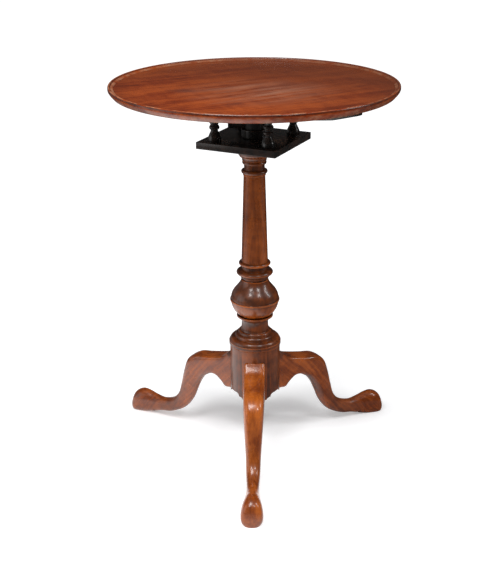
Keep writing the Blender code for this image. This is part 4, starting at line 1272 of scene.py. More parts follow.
@dataclass
class TurnedPillar(Assembly):
    """The pillar: hub, reeds, ball, rings, shaft, capital and the post that carries the cage."""

    facets: int = 128
    edge_round: float = 0.0005
    hollow_reach: float = 0.0045
    hub_radius: float = 0.0477
    post_radius: float = 0.0165
    wedge_width: float = 0.0090
    scallop_rise: float = 0.0110
    scallop_step_rise: float = 0.0045
    scallop_half_width: float = 0.0245
    scallop_step: float = 0.0165
    scallop_inner: float = 0.0300
    under_slope: float = -0.9
    # the last value of each moulding paints it darker: partly old wax, partly painted shade where the board
    # shades the ball and rings, and in the grooves
    members: tuple[Member, ...] = (
        Member(Cut.FILLET, 0.1024, 0.0477, wax_and_shade=0.32),
        Member(Cut.FILLET, 0.0012, 0.0464, wax_and_shade=0.30),
        Member(Cut.FILLET, 0.0069, 0.0493, wax_and_shade=0.58),
        Member(Cut.OVOLO, 0.0084, 0.0481, 0.0396, wax_and_shade=0.68),
        Member(Cut.OVOLO, 0.0069, 0.0384, 0.0334, wax_and_shade=0.70),
        Member(Cut.OVOLO, 0.0055, 0.0322, 0.0289, wax_and_shade=0.70),
        Member(Cut.COVE, 0.0159, 0.0279, 0.0252, wax_and_shade=0.30),
        Member(Cut.OVOLO, 0.0128, 0.0252, 0.0332, wax_and_shade=0.36),
        Member(Cut.FILLET, 0.0030, 0.0345, wax_and_shade=0.75),
        Member(Cut.FILLET, 0.0019, 0.0277, wax_and_shade=0.40),
        Member(Cut.SWEEP, 0.0279, 0.0308, 0.0456, ((0.0390, 0.22), (0.0440, 0.58)), wax_and_shade=0.20),
        Member(Cut.FILLET, 0.0030, 0.0468, wax_and_shade=0.40),
        Member(Cut.SWEEP, 0.0395, 0.0451, 0.0255, ((0.0455, 0.49), (0.0290, 0.61)), wax_and_shade=0.50),
        Member(Cut.FILLET, 0.0041, 0.0233, wax_and_shade=0.45),
        Member(Cut.FILLET, 0.0039, 0.0268, wax_and_shade=0.75),
        Member(Cut.BEAD, 0.0120, 0.0235, 0.0344, wax_and_shade=0.86),
        Member(Cut.FILLET, 0.0075, 0.0244, wax_and_shade=0.48),
        Member(Cut.BEAD, 0.0086, 0.0225, 0.0299, wax_and_shade=0.84),
        Member(Cut.TAPER, 0.1654, 0.0249, 0.0198),
        Member(Cut.FILLET, 0.0035, 0.0208, wax_and_shade=0.10),
        Member(Cut.BEAD, 0.0075, 0.0199, 0.0241, wax_and_shade=0.74),
        Member(Cut.FILLET, 0.0095, 0.0188, wax_and_shade=0.06),
        Member(Cut.BEAD, 0.0071, 0.0190, 0.0222, wax_and_shade=0.68),
        Member(Cut.OVOLO, 0.0075, 0.0223, 0.0263, wax_and_shade=0.62),
        Member(Cut.FILLET, 0.0025, 0.0270, wax_and_shade=0.60),
        Member(Cut.COVE, 0.0131, 0.0273, 0.0316, wax_and_shade=0.52),
        Member(Cut.FILLET, 0.0060, 0.0322, wax_and_shade=0.58),
    )

    def build(self) -> None:
        """Builds the pillar as one piece."""
        outline = Outline(self.layout.hub)
        for member in self.members:
            outline.add(member)
        outline.step(self.post_radius)
        outline.height = self.layout.post_top
        outline.step(self.post_radius)
        bm = turned(softened(outline.points, self.edge_round), self.facets)
        bm = carved(bm, self.tools())
        mark_hollows(bm, outline, self.hollow_reach)
        for face in bm.faces:
            height = face.calc_center_median().z
            if face.normal.z < self.under_slope and height < self.layout.hub + self.scallop_rise:
                face.material_index = 1
            # the post inside the cage takes the black finish, which paints the deep shade there
            elif height > self.layout.plate[0]:
                face.material_index = 2
        moved(bm, Matrix.Translation(self.layout.axis))
        piece = Piece("turned_pillar", Body.BASE, Slot.MAHOGANY, ("pillar",))
        piece.finish(bm, self.palette.pillar, self.palette.raw_base, self.palette.ebonised_upright)

    def tools(self) -> list[Mesh]:
        """Shapes that cut the arches between the legs and the wedge's mortise.

        Returns:
            The cutters, in the pillar's own frame.
        """
        cutters = []
        for azimuth in CabrioleLegs.azimuths.values():
            bay = math.radians(azimuth + 60)
            arch = prism(self.arch(), -self.hub_radius)
            inner = self.scallop_inner
            lift = Matrix.Translation((inner * math.cos(bay), inner * math.sin(bay), self.layout.hub))
            facing = Matrix.Rotation(bay - math.radians(90), 4, "Z") @ rotation(90, "X")
            cutters.append(moved(arch, lift @ facing))
        half = self.wedge_width / 2 + SEAT
        reach = 2 * self.post_radius
        low, high = self.layout.wedge
        cutters.append(slab((-reach, -half, low - SEAT), (reach, half, high + SEAT)))
        return cutters

    def arch(self) -> list[Point]:
        """Draws the front view of one arch in the hub's lower edge.

        Returns:
            Points of two rounded steps up to a flat crown and down again.
        """
        steps = 10
        side = [(self.scallop_half_width, -self.scallop_step_rise)]
        rises = (self.scallop_step_rise, self.scallop_rise - self.scallop_step_rise)
        widths = (self.scallop_half_width, self.scallop_step)
        runs = (self.scallop_half_width - self.scallop_step, rises[1])
        base = 0.0
        for rise, wide, run in zip(rises, widths, runs):
            for turn in turns(steps):
                side.append((wide - run * (1 - math.cos(turn)), base + rise * math.sin(turn)))
            base += rise
        side = [point for number, point in enumerate(side) if number == 0 or point != side[number - 1]]
        return side + [(-wide, height) for wide, height in reversed(side)]


@dataclass
class CabrioleLegs(Assembly):
    """The three legs: a square root on the hub, a knee, a slim ankle and a pad foot."""

    azimuths = {"leg_front": -90.0, "leg_rear_right": 30.0, "leg_rear_left": 150.0}
    ring_points: int = 48
    span_steps: int = 7
    hub_radius: float = 0.0477
    root_width: float = 0.0405
    root_top: float = 0.1957
    root_square: float = 10.0
    foot_reach: float = 0.3000
    sole_cut: float = 0.0050
    heel_rise: float = 0.0030
    toe_break: float = 0.0078
    toe_slope: float = 0.0020
    notch: Point = (0.2385, 0.2450)
    notch_rise: float = 0.0086
    root_shade: float = 0.90
    root_reach: float = 0.011
    root_depth: float = 0.016
    shin: Point = (0.140, 0.262)
    shin_darkening: float = 0.16

    def stations(self) -> list[Vector]:
        """Sections along a leg.

        Returns:
            For each section its upper edge (reach, height), lower edge (reach, height), width and
            squareness.
        """
        sole = -self.sole_cut
        reach = self.foot_reach
        hub = self.layout.hub
        root = (self.root_width, self.root_square)
        rows = (
            (self.hub_radius, self.root_top, self.hub_radius, hub, *root),
            (0.0547, 0.1880, 0.0588, hub, *root),
            (0.0668, 0.1787, 0.0665, 0.1237, 0.0403, 8.5),
            (0.0861, 0.1735, 0.0797, 0.1338, 0.0398, 7.0),
            (0.1095, 0.1692, 0.0927, 0.1341, 0.0393, 5.0),
            (0.1328, 0.1652, 0.1055, 0.1271, 0.0387, 4.2),
            (0.1524, 0.1507, 0.1173, 0.1176, 0.0376, 3.2),
            (0.1625, 0.1257, 0.1289, 0.1018, 0.0355, 2.8),
            (0.1702, 0.0970, 0.1382, 0.0817, 0.0324, 2.6),
            (0.1797, 0.0666, 0.1491, 0.0559, 0.0287, 2.5),
            (0.1972, 0.0474, 0.1678, 0.0325, 0.0268, 2.4),
            (0.2228, 0.0388, 0.1988, 0.0154, 0.0238, 2.3),
            (0.2440, 0.0415, 0.2250, 0.0092, 0.0254, 2.2),
            (0.2640, 0.0461, 0.2440, self.heel_rise, 0.0308, 2.2),
            (0.2790, 0.0458, 0.2620, sole / 2, 0.0372, 2.2),
            (reach - self.toe_break, 0.0372, 0.2760, sole, 0.0404, 2.2),
            (reach - self.toe_slope, 0.0205, 0.2865, sole, 0.0370, 2.2),
            (reach, 0.0070, 0.2940, sole, 0.0220, 2.1),
            (reach, 0.0020, 0.2978, sole, 0.0070, 2.0),
        )
        return [Vector(row) for row in rows]

    @staticmethod
    def between(before: Vector, start: Vector, end: Vector, after: Vector, share: float) -> Vector:
        """Finds a section on a smooth curve through its neighbours.

        Args:
            before: the section before the start.
            start: the section where the curve starts.
            end: the section where it ends.
            after: the section after the end.
            share: share of the way from start to end.

        Returns:
            The section.
        """
        square = share * share
        cube = square * share
        return 0.5 * (
            2 * start
            + (end - before) * share
            + (2 * before - 5 * start + 4 * end - after) * square
            + (3 * start - before - 3 * end + after) * cube
        )

    def section(self, station: Vector) -> list[Vector]:
        """Draws one rounded section between an upper and a lower edge.

        Args:
            station: the section, as in stations.

        Returns:
            Its points in order.
        """
        upper = Vector((station[0], 0.0, station[1]))
        lower = Vector((station[2], 0.0, station[3]))
        middle = (upper + lower) / 2
        rise = (upper - lower) / 2
        power = 2 / station[5]
        points = []
        for index in range(self.ring_points):
            turn = (index + 0.5) / self.ring_points * math.tau
            across = math.copysign(abs(math.cos(turn)) ** power, math.cos(turn))
            along = math.copysign(abs(math.sin(turn)) ** power, math.sin(turn))
            points.append(middle + rise * along + Vector((0.0, station[4] / 2 * across, 0.0)))
        return points

    def mesh(self) -> Mesh:
        """One leg that runs along +X from the pillar's axis.

        Returns:
            The closed mesh, flat on the floor.
        """
        stations = self.stations()
        last = len(stations) - 1
        sections = []
        for index in range(last):
            row = [stations[min(max(index + step, 0), last)] for step in (-1, 0, 1, 2)]
            for step in range(self.span_steps):
                sections.append(self.section(self.between(*row, step / self.span_steps)))
        sections.append(self.section(stations[last]))
        seat = self.hub_radius + SEAT
        for point in sections[0]:
            point.x = math.sqrt(seat * seat - point.y * point.y)
        bm = lofted(sections)
        cut = bmesh.ops.bisect_plane(
            bm, geom=bm.verts[:] + bm.edges[:] + bm.faces[:], dist=1e-7, plane_co=(0, 0, 0),
            plane_no=(0, 0, -1), clear_outer=True,
        )
        rim = [item for item in cut["geom_cut"] if isinstance(item, bmesh.types.BMEdge)]
        bmesh.ops.contextual_create(bm, geom=rim)
        start, end = self.notch
        heel = slab((start, -self.root_width, -self.notch_rise), (end, self.root_width, self.notch_rise))
        return carved(bm, [heel])

    def mark_shade_and_shin(self, bm: Mesh, root_shade: float) -> None:
        """Stores on the vertices painted shade at the hub's upper corner and in the heel's notch, and a
        darker band along the shin.

        Args:
            bm: a leg that runs along +X.
            root_shade: how much painted shade the upper corner at the hub gets.
        """
        layer = relief_layer(bm)
        start, end = self.shin
        notch = self.notch
        for vert in bm.verts:
            # painted shade: the rear legs' upper corner by the hub is darkened where the board shades it
            corner = max(1 - (vert.co.x - self.hub_radius) / self.root_reach, 0.0)
            corner *= max(1 - (self.root_top - vert.co.z) / self.root_depth, 0.0)
            shin = min(max((vert.co.x - start) / (end - start), 0.0), 1.0)
            vert[layer] = -root_shade * corner - self.shin_darkening * math.sin(math.pi * shin)
            # painted shadow: the heel's notch is painted fully dark
            if notch[0] - SEAT < vert.co.x < notch[1] + SEAT and vert.co.z < self.notch_rise + SEAT:
                vert[layer] = -1.0

    def build(self) -> None:
        """Builds each leg in its place."""
        for name, azimuth in self.azimuths.items():
            bm = self.mesh()
            self.mark_shade_and_shin(bm, 0.0 if name == "leg_front" else self.root_shade)
            moved(bm, Matrix.Translation(self.layout.axis) @ rotation(azimuth, "Z"))
            piece = Piece(f"cabriole_{name}", Body.BASE, Slot.MAHOGANY, (name,))
            piece.finish(bm, self.palette.legs[name])


@dataclass
class HubBrace(Assembly):
    """Three-armed iron plate under the hub, with its nails and centre screw."""

    thickness: float = 0.0025
    disc_radius: float = 0.0240
    arm_width: float = 0.0160
    arm_reach: float = 0.0620
    edge_round: float = 0.0006
    nail_reach: float = 0.0535
    nail_head: Point = (0.0034, 0.0012)
    nail_shank: Point = (0.0016, 0.0150)
    screw_head: Point = (0.0050, 0.0012)
    screw_shank: Point = (0.0025, 0.0220)

    def outline(self) -> list[Point]:
        """Draws the plan of the plate.

        Returns:
            Points of a disc that runs out along each leg to a rounded end.
        """
        half = self.arm_width / 2
        root = math.asin(half / self.disc_radius)
        steps = 10
        points = []
        for azimuth in sorted(CabrioleLegs.azimuths.values()):
            along = math.radians(azimuth)
            start = along - math.radians(120) + root
            for turn in turns(steps, start, along - root - start)[:-1]:
                points.append((self.disc_radius * math.cos(turn), self.disc_radius * math.sin(turn)))
            arm = [(self.disc_radius * math.cos(root), -half)]
            for turn in turns(steps, -math.pi / 2, math.pi):
                arm.append((self.arm_reach - half + half * math.cos(turn), half * math.sin(turn)))
            for reach, side in arm:
                x = reach * math.cos(along) - side * math.sin(along)
                points.append((x, reach * math.sin(along) + side * math.cos(along)))
        return points

    def build(self) -> None:
        """Builds the plate, the nails and the screw."""
        bottom = self.layout.hub - SEAT - self.thickness
        bm = prism(self.outline(), self.thickness)
        rounded(bm, self.edge_round, 2)
        moved(bm, Matrix.Translation(self.layout.axis + Vector((0, 0, bottom))))
        Piece("iron_brace", Body.BASE, Slot.IRON, ("hub_brace",)).finish(bm, self.palette.iron)
        head = bottom - SEAT - self.nail_head[1]
        for number, azimuth in enumerate(CabrioleLegs.azimuths.values(), start=1):
            turn = math.radians(azimuth)
            spot = Vector((self.nail_reach * math.cos(turn), self.nail_reach * math.sin(turn), head))
            nail = self.fasteners.nail(*self.nail_head, *self.nail_shank)
            moved(nail, Matrix.Translation(self.layout.axis + spot))
            piece = Piece(f"forged_nail_{number}", Body.BASE, Slot.IRON, (f"brace_nail_{number}",))
            piece.finish(nail, self.palette.iron)
        screw = self.fasteners.screw(*self.screw_head, *self.screw_shank)
        moved(screw, Matrix.Translation(self.layout.axis + Vector((0, 0, head))))
        piece = Piece("centre_screw", Body.BASE, Slot.IRON, ("brace_centre_screw",))
        piece.finish(screw, self.palette.iron)


@dataclass
class CollarAndWedge(Assembly):
    """Ring round the post and the wedge that holds the cage down."""

    facets: int = 96
    collar_radius: float = 0.0235
    collar_bore: float = 0.0168
    collar_round: float = 0.0020
    wedge_width: float = 0.0090
    wedge_thin: float = 0.0100
    wedge_thick: float = 0.0140
    wedge_left: float = 0.0470
    wedge_right: float = 0.0315
    wedge_round: float = 0.0008

    def build(self) -> None:
        """Builds both pieces."""
        low, high = self.layout.collar
        outline = [(self.collar_radius, low), (self.collar_radius, high)]
        bm = turned(softened([(0.0, low), *outline, (0.0, high)], self.collar_round, 6), self.facets)
        past = self.collar_round
        bore = rod(self.collar_bore, (0, 0, low - past), (0, 0, high + past), self.facets)
        bm = moved(carved(bm, [bore]), Matrix.Translation(self.layout.axis))
        piece = Piece("post_collar", Body.BASE, Slot.EBONISED, ("cage_collar",))
        piece.finish(bm, self.palette.ebonised_upright)
        outline = [
            (-self.wedge_left, 0.0), (self.wedge_right, 0.0), (self.wedge_right, self.wedge_thin),
            (-self.wedge_left, self.wedge_thick),
        ]
        bm = prism(outline, self.wedge_width)
        rounded(bm, self.wedge_round)
        shift = Matrix.Translation(self.layout.axis + Vector((0, self.wedge_width / 2, self.layout.wedge[0])))
        moved(bm, shift @ rotation(90, "X"))
        Piece("cage_wedge", Body.BASE, Slot.EBONISED, ("wedge_key",)).finish(bm, self.palette.ebonised)


@dataclass
class BalusterCage(Assembly):
    """The cage: lower plate, four turned balusters, upper block with its pintles, brass keeper."""

    size: float = 0.1544
    edge_round: float = 0.0011
    facets: int = 72
    turning_round: float = 0.0004
    hollow_reach: float = 0.0040
    spread: float = 0.1050
    post_bore: float = 0.0168
    pintle_radius: float = 0.0080
    pintle_length: float = 0.0170
    keeper_width: float = 0.0340
    keeper_height: float = 0.0150
    keeper_thickness: float = 0.0015
    keeper_round: float = 0.0004
    keeper_bore: float = 0.0041
    bore_facets: int = 48
    bore_depth: float = 0.0100
    keeper_screw_spread: float = 0.0230
    keeper_screw: tuple[float, float, float, float] = (0.0028, 0.0012, 0.0015, 0.0120)
    tenon: Member = Member(Cut.FILLET, 0.0080, 0.0050)
    members: tuple[Member, ...] = (
        Member(Cut.FILLET, 0.0030, 0.0120),
        Member(Cut.SWEEP, 0.0154, 0.0120, 0.0062, ((0.0112, 0.36), (0.0078, 0.66))),
        Member(Cut.FILLET, 0.0012, 0.0062),
        Member(Cut.BEAD, 0.0075, 0.0066, 0.0092),
        Member(Cut.FILLET, 0.0029, 0.0071),
        Member(Cut.BEAD, 0.0075, 0.0066, 0.0092),
        Member(Cut.FILLET, 0.0012, 0.0062),
        Member(Cut.SWEEP, 0.0154, 0.0062, 0.0120, ((0.0078, 0.34), (0.0112, 0.64))),
        Member(Cut.FILLET, 0.0030, 0.0120),
    )

    def build(self) -> None:
        """Builds the cage's pieces."""
        self.build_plate()
        self.build_block()
        self.build_balusters()
        self.build_keeper()

    def build_plate(self) -> None:
        """Builds the lower plate with the hole for the post."""
        low, high = self.layout.plate
        half = self.size / 2
        bm = slab((-half, -half, low), (half, half, high))
        rounded(bm, self.edge_round)
        bore = rod(self.post_bore, (0, 0, low - SEAT), (0, 0, high + SEAT), self.facets)
        bm = moved(carved(bm, [bore]), self.layout.cage)
        Piece("lower_plate", Body.CAGE, Slot.EBONISED, ("cage_plate",)).finish(bm, self.palette.ebonised)

    def build_block(self) -> None:
        """Builds the upper block, half round at its pintle edge, with both pintles and the bolt's hole."""
        low, high = self.layout.block
        half = self.size / 2
        bend = (high - low) / 2
        steps = 24
        outline = [(half, low), (half, high)]
        for turn in turns(steps, math.pi / 2, math.pi):
            x = self.layout.hinge_x + bend * math.cos(turn)
            outline.append((x, self.layout.pintle + bend * math.sin(turn)))
        bm = prism(outline, self.size)
        rounded(bm, self.edge_round, 2)
        moved(bm, Matrix.Translation((0, half, 0)) @ rotation(90, "X"))
        end = half + self.pintle_length
        pin_ends = [(self.layout.hinge_x, y, self.layout.pintle) for y in (-end, end)]
        pins = rod(self.pintle_radius, *pin_ends, self.bore_facets)
        rounded(pins, self.edge_round, 2, math.radians(60))
        bore_ends = [(x, 0, self.layout.bolt.z) for x in (half - self.bore_depth, half + bend)]
        bore = rod(self.keeper_bore, *bore_ends, self.bore_facets)
        bm = moved(carved(carved(bm, [pins], Work.JOIN), [bore]), self.layout.cage)
        Piece("upper_block", Body.CAGE, Slot.EBONISED, ("cage_block",)).finish(bm, self.palette.ebonised)

    def build_balusters(self) -> None:
        """Builds the four turned balusters with their tenons."""
        foot = self.layout.plate[1] + SEAT
        corners = [(-1, -1), (1, -1), (1, 1), (-1, 1)]
        for number, (side_x, side_y) in enumerate(corners, start=1):
            outline = Outline(foot - self.tenon.rise)
            for member in (self.tenon, *self.members, self.tenon):
                outline.add(member)
            bm = turned(softened(outline.points, self.turning_round), self.facets)
            mark_hollows(bm, outline, self.hollow_reach)
            spot = Matrix.Translation((side_x * self.spread / 2, side_y * self.spread / 2, 0))
            moved(bm, self.layout.cage @ spot)
            piece = Piece(f"turned_baluster_{number}", Body.CAGE, Slot.EBONISED, (f"baluster_{number}",))
            piece.finish(bm, self.palette.ebonised_upright)

    def build_keeper(self) -> None:
        """Builds the keeper on the block's free edge, with its bolt hole and two screws."""
        face = self.size / 2 + SEAT
        height = self.layout.bolt.z
        low = (face, -self.keeper_width / 2, height - self.keeper_height / 2)
        high = (face + self.keeper_thickness, self.keeper_width / 2, height + self.keeper_height / 2)
        bm = slab(low, high)
        rounded(bm, self.keeper_round, 2)
        bore = rod(self.keeper_bore, (face / 2, 0, height), (face + face / 2, 0, height), self.bore_facets)
        bm = moved(carved(bm, [bore]), self.layout.cage)
        Piece("brass_keeper", Body.CAGE, Slot.BRASS, ("keeper_plate",)).finish(bm, self.palette.brass)
        head = face + self.keeper_thickness + SEAT + self.keeper_screw[1]
        inward = rotation(-90, "Y")
        for number, side in enumerate((-1, 1), start=1):
            spot = Matrix.Translation((head, side * self.keeper_screw_spread / 2, height))
            screw = moved(self.fasteners.screw(*self.keeper_screw), self.layout.cage @ spot @ inward)
            piece = Piece(f"keeper_plate_screw_{number}", Body.CAGE, Slot.BRASS, (f"keeper_screw_{number}",))
            piece.finish(screw, self.palette.brass)


@dataclass
class RoundTop(Assembly):
    """The dished board with its moulded rim."""

    facets: int = 360
    radius: float = 0.2561
    edge_band: float = 0.0042
    edge_run: float = 0.0110
    bevel_run: float = 0.0062
    bevel_foot: float = 0.0018
    bevel_bend: float = 1.4
    edge_round: float = 0.0006
    under_slope: float = -0.98
    crest: float = 0.0040
    crest_edge: float = 0.0010
    crest_wide: float = 0.0022
    crest_deep: float = 0.0027
    slope: float = 0.0055
    slope_drop: float = 0.0030
    step: float = 0.0008
    cove: float = 0.0080
    cove_drop: float = 0.0012
    lip_depth: float = 0.0024
    # light and shade painted on the rim: crest, outer face, lip and cove darkened as painted shade, the lower
    # rounding paled as the floor's painted reflection, the step paled as rub and painted highlight
    crest_shade: float = 0.08
    edge_shade: float = 0.62
    round_reflection: float = 0.24
    step_rub_and_highlight: float = 0.90
    cove_shade: float = 0.12

    def outline(self) -> list[Point]:
        """Draws the half section of the board.

        Returns:
            Its points, from the middle of its underside round to the middle of its face.
        """
        low, high = self.layout.board
        edge_steps, crest_steps, slope_steps, cove_steps, rings = 14, 8, 12, 10, 8
        crest_low = high - self.crest_edge
        round_rise = crest_low - self.edge_band - low
        start = self.radius - self.edge_run
        points = [(start * index / rings, low) for index in range(rings)]
        foot_run = self.edge_run - self.bevel_run
        for turn in turns(edge_steps):
            points.append((start + foot_run * math.sin(turn), low + self.bevel_foot * (1 - math.cos(turn))))
        for index in range(1, edge_steps + 1):
            share = index / edge_steps
            out = start + foot_run + self.bevel_run * (1 - (1 - share) ** self.bevel_bend)
            points.append((out, low + self.bevel_foot + (round_rise - self.bevel_foot) * share))
        inner = self.radius - self.crest
        for turn in turns(crest_steps):
            out = self.radius - self.crest_wide * (1 - math.cos(turn))
            points.append((out, high - self.crest_deep * (1 - math.sin(turn))))
        points.append((inner + self.crest_edge, high))
        for turn in turns(slope_steps):
            fall = math.sin(turn)
            points.append((inner - self.slope * fall**2, crest_low - self.slope_drop * fall))
        start = inner - self.slope - self.step
        field_height = crest_low - self.slope_drop - self.step - self.cove_drop
        for index in range(cove_steps + 1):
            share = index / cove_steps
            points.append((start - self.cove * share, field_height + self.cove_drop * (1 - share) ** 2))
        floor = start - self.cove
        points += [(floor * (1 - index / rings), field_height) for index in range(1, rings + 1)]
        return points

    def mark_rim(self, bm: Mesh) -> None:
        """Stores on the rim's vertices its painted light and shade: a painted reflection on the lower
        rounding, painted shade on the crest, outer face, lip and cove, and a pale step line that is partly
        rub and partly painted highlight.

        Args:
            bm: the board, about Z.
        """
        layer = relief_layer(bm)
        low, high = self.layout.board
        crest = self.radius - self.crest
        step = crest - self.slope
        inner = step - self.step - self.cove
        band = high - self.crest_edge - self.edge_band
        for vert in bm.verts:
            radius = vert.co.xy.length
            if radius < inner or vert.co.z < low + self.crest_edge / 2:
                continue
            # lower rounding: painted reflection of the floor; crest, outer face, lip and cove: painted shade;
            # step: rub and painted highlight
            if vert.co.z < (band if radius > crest else low + self.edge_band):
                vert[layer] = self.round_reflection
            elif vert.co.z > high - self.crest_edge / 2:
                vert[layer] = -self.crest_shade
            elif radius > crest or vert.co.z > high - self.lip_depth:
                vert[layer] = -self.edge_shade
            elif radius > step - self.step:
                vert[layer] = self.step_rub_and_highlight
            else:
                vert[layer] = -self.cove_shade

    def build(self) -> None:
        """Builds the board; its underside is left unpolished."""
        bm = turned(softened(self.outline(), self.edge_round, 5), self.facets)
        self.mark_rim(bm)
        for face in bm.faces:
            if face.normal.z < self.under_slope:
                face.material_index = 1
        moved(bm, self.layout.cage)
        piece = Piece("dished_top", Body.TOP, Slot.MAHOGANY, ("table_top",))
        piece.finish(bm, self.palette.board, self.palette.board_back)


@dataclass
class Cleats(Assembly):
    """The two bearers under the board that hold the pintles, with their screws."""

    inner: float = 0.0777
    width: float = 0.0220
    depth: float = 0.0240
    half_length: float = 0.2320
    flat: float = 0.0900
    nose: float = 0.0450
    bow: float = 0.0660
    nose_depth: float = 0.0142
    tip_depth: float = 0.0035
    tip_width: float = 0.0070
    edge: float = 0.0070
    inner_edge: float = 0.0006
    edge_limit: float = 0.9
    pintle_bore: float = 0.0083
    bore_facets: int = 48
    hole_facets: int = 32
    pintle_depth: float = 0.0175
    screw_places: tuple[float, ...] = (-0.1500, 0.0400, 0.1500)
    screw_head: Point = (0.0042, 0.0030)
    screw_shank: float = 0.0021
    screw_sink: float = 0.0040
    screw_bite: float = 0.0060

    def depth_at(self, x: float) -> float:
        """Finds the depth of the cleat.

        Args:
            x: distance along the cleat from its middle.

        Returns:
            The depth there.
        """
        along = abs(x)
        nose_start = self.half_length - self.nose
        if along <= self.flat:
            return self.depth
        if along <= nose_start:
            share = (along - self.flat) / (nose_start - self.flat)
            return self.depth + (self.nose_depth - self.depth) * share
        share = (along - nose_start) / self.nose
        return self.nose_depth + (self.tip_depth - self.nose_depth) * share

    def width_at(self, x: float) -> float:
        """Width at a distance along the cleat; its ends are rounded like a bow."""
        share = max(abs(x) - self.half_length + self.bow, 0.0) / self.bow
        return self.tip_width + (self.width - self.tip_width) * math.sqrt(max(1 - share * share, 0.0))

    def section(self, x: float, side: int) -> list[Vector]:
        """Draws one cross section.

        Args:
            x: distance along the cleat from its middle.
            side: 1 or -1, the side of the cage.

        Returns:
            Its points, from the inner upper edge round to the outer upper edge.
        """
        depth = self.depth_at(x)
        width = self.width_at(x)
        bend = min(self.edge, self.edge_limit * depth, self.edge_limit * width)
        steps = 10
        soft = self.inner_edge
        points = [(self.inner, 0.0), (self.inner, -depth + soft), (self.inner + soft, -depth)]
        for turn in turns(steps):
            y = self.inner + width - bend + bend * math.sin(turn)
            points.append((y, -depth + bend - bend * math.cos(turn)))
        points.append((self.inner + width, 0.0))
        return [Vector((x, side * y, z)) for y, z in points]

    def mesh(self, side: int) -> Mesh:
        """One cleat under a board whose underside is at z = 0.

        Args:
            side: 1 or -1, the side of the cage.

        Returns:
            The closed mesh.
        """
        nose_start = self.half_length - self.nose
        flat_steps, nose_steps = 8, 16
        half = [self.flat + (nose_start - self.flat) * index / flat_steps for index in range(flat_steps + 1)]
        half += [nose_start + self.nose * math.sin(turn) for turn in turns(nose_steps)[1:]]
        places = [-x for x in reversed(half)] + half
        return lofted([self.section(x, side) for x in places])

    def build(self) -> None:
        """Builds both cleats and their screws."""
        under = self.layout.cage @ Matrix.Translation((0, 0, self.layout.board[0] - SEAT))
        pin = self.layout.pintle - self.layout.board[0] + SEAT
        for side, name in ((-1, "near"), (1, "far")):
            y = side * (self.inner + self.width / 2)
            reaches = (self.inner - self.edge, self.inner + self.pintle_depth)
            bore_ends = [(self.layout.hinge_x, side * reach, pin) for reach in reaches]
            tools = [rod(self.pintle_bore, *bore_ends, self.bore_facets)]
            for number, x in enumerate(self.screw_places, start=1):
                depth = self.depth_at(x)
                head = -depth + self.screw_sink
                top = head + SEAT + self.screw_head[1]
                wide = self.screw_head[0] + SEAT
                tools.append(rod(wide, (x, y, -2 * depth), (x, y, top), self.hole_facets))
                screw = self.fasteners.screw(*self.screw_head, self.screw_shank, self.screw_bite - head)
                moved(screw, under @ Matrix.Translation((x, y, head)))
                node = f"cleat_{name}_screw_{number}"
                piece = Piece(f"{name}_cleat_screw_{number}", Body.TOP, Slot.IRON, (node,))
                piece.finish(screw, self.palette.iron)
            bm = moved(carved(self.mesh(side), tools), under)
            piece = Piece(f"{name}_cleat", Body.TOP, Slot.EBONISED, (f"cleat_{name}",))
            piece.finish(bm, self.palette.ebonised)


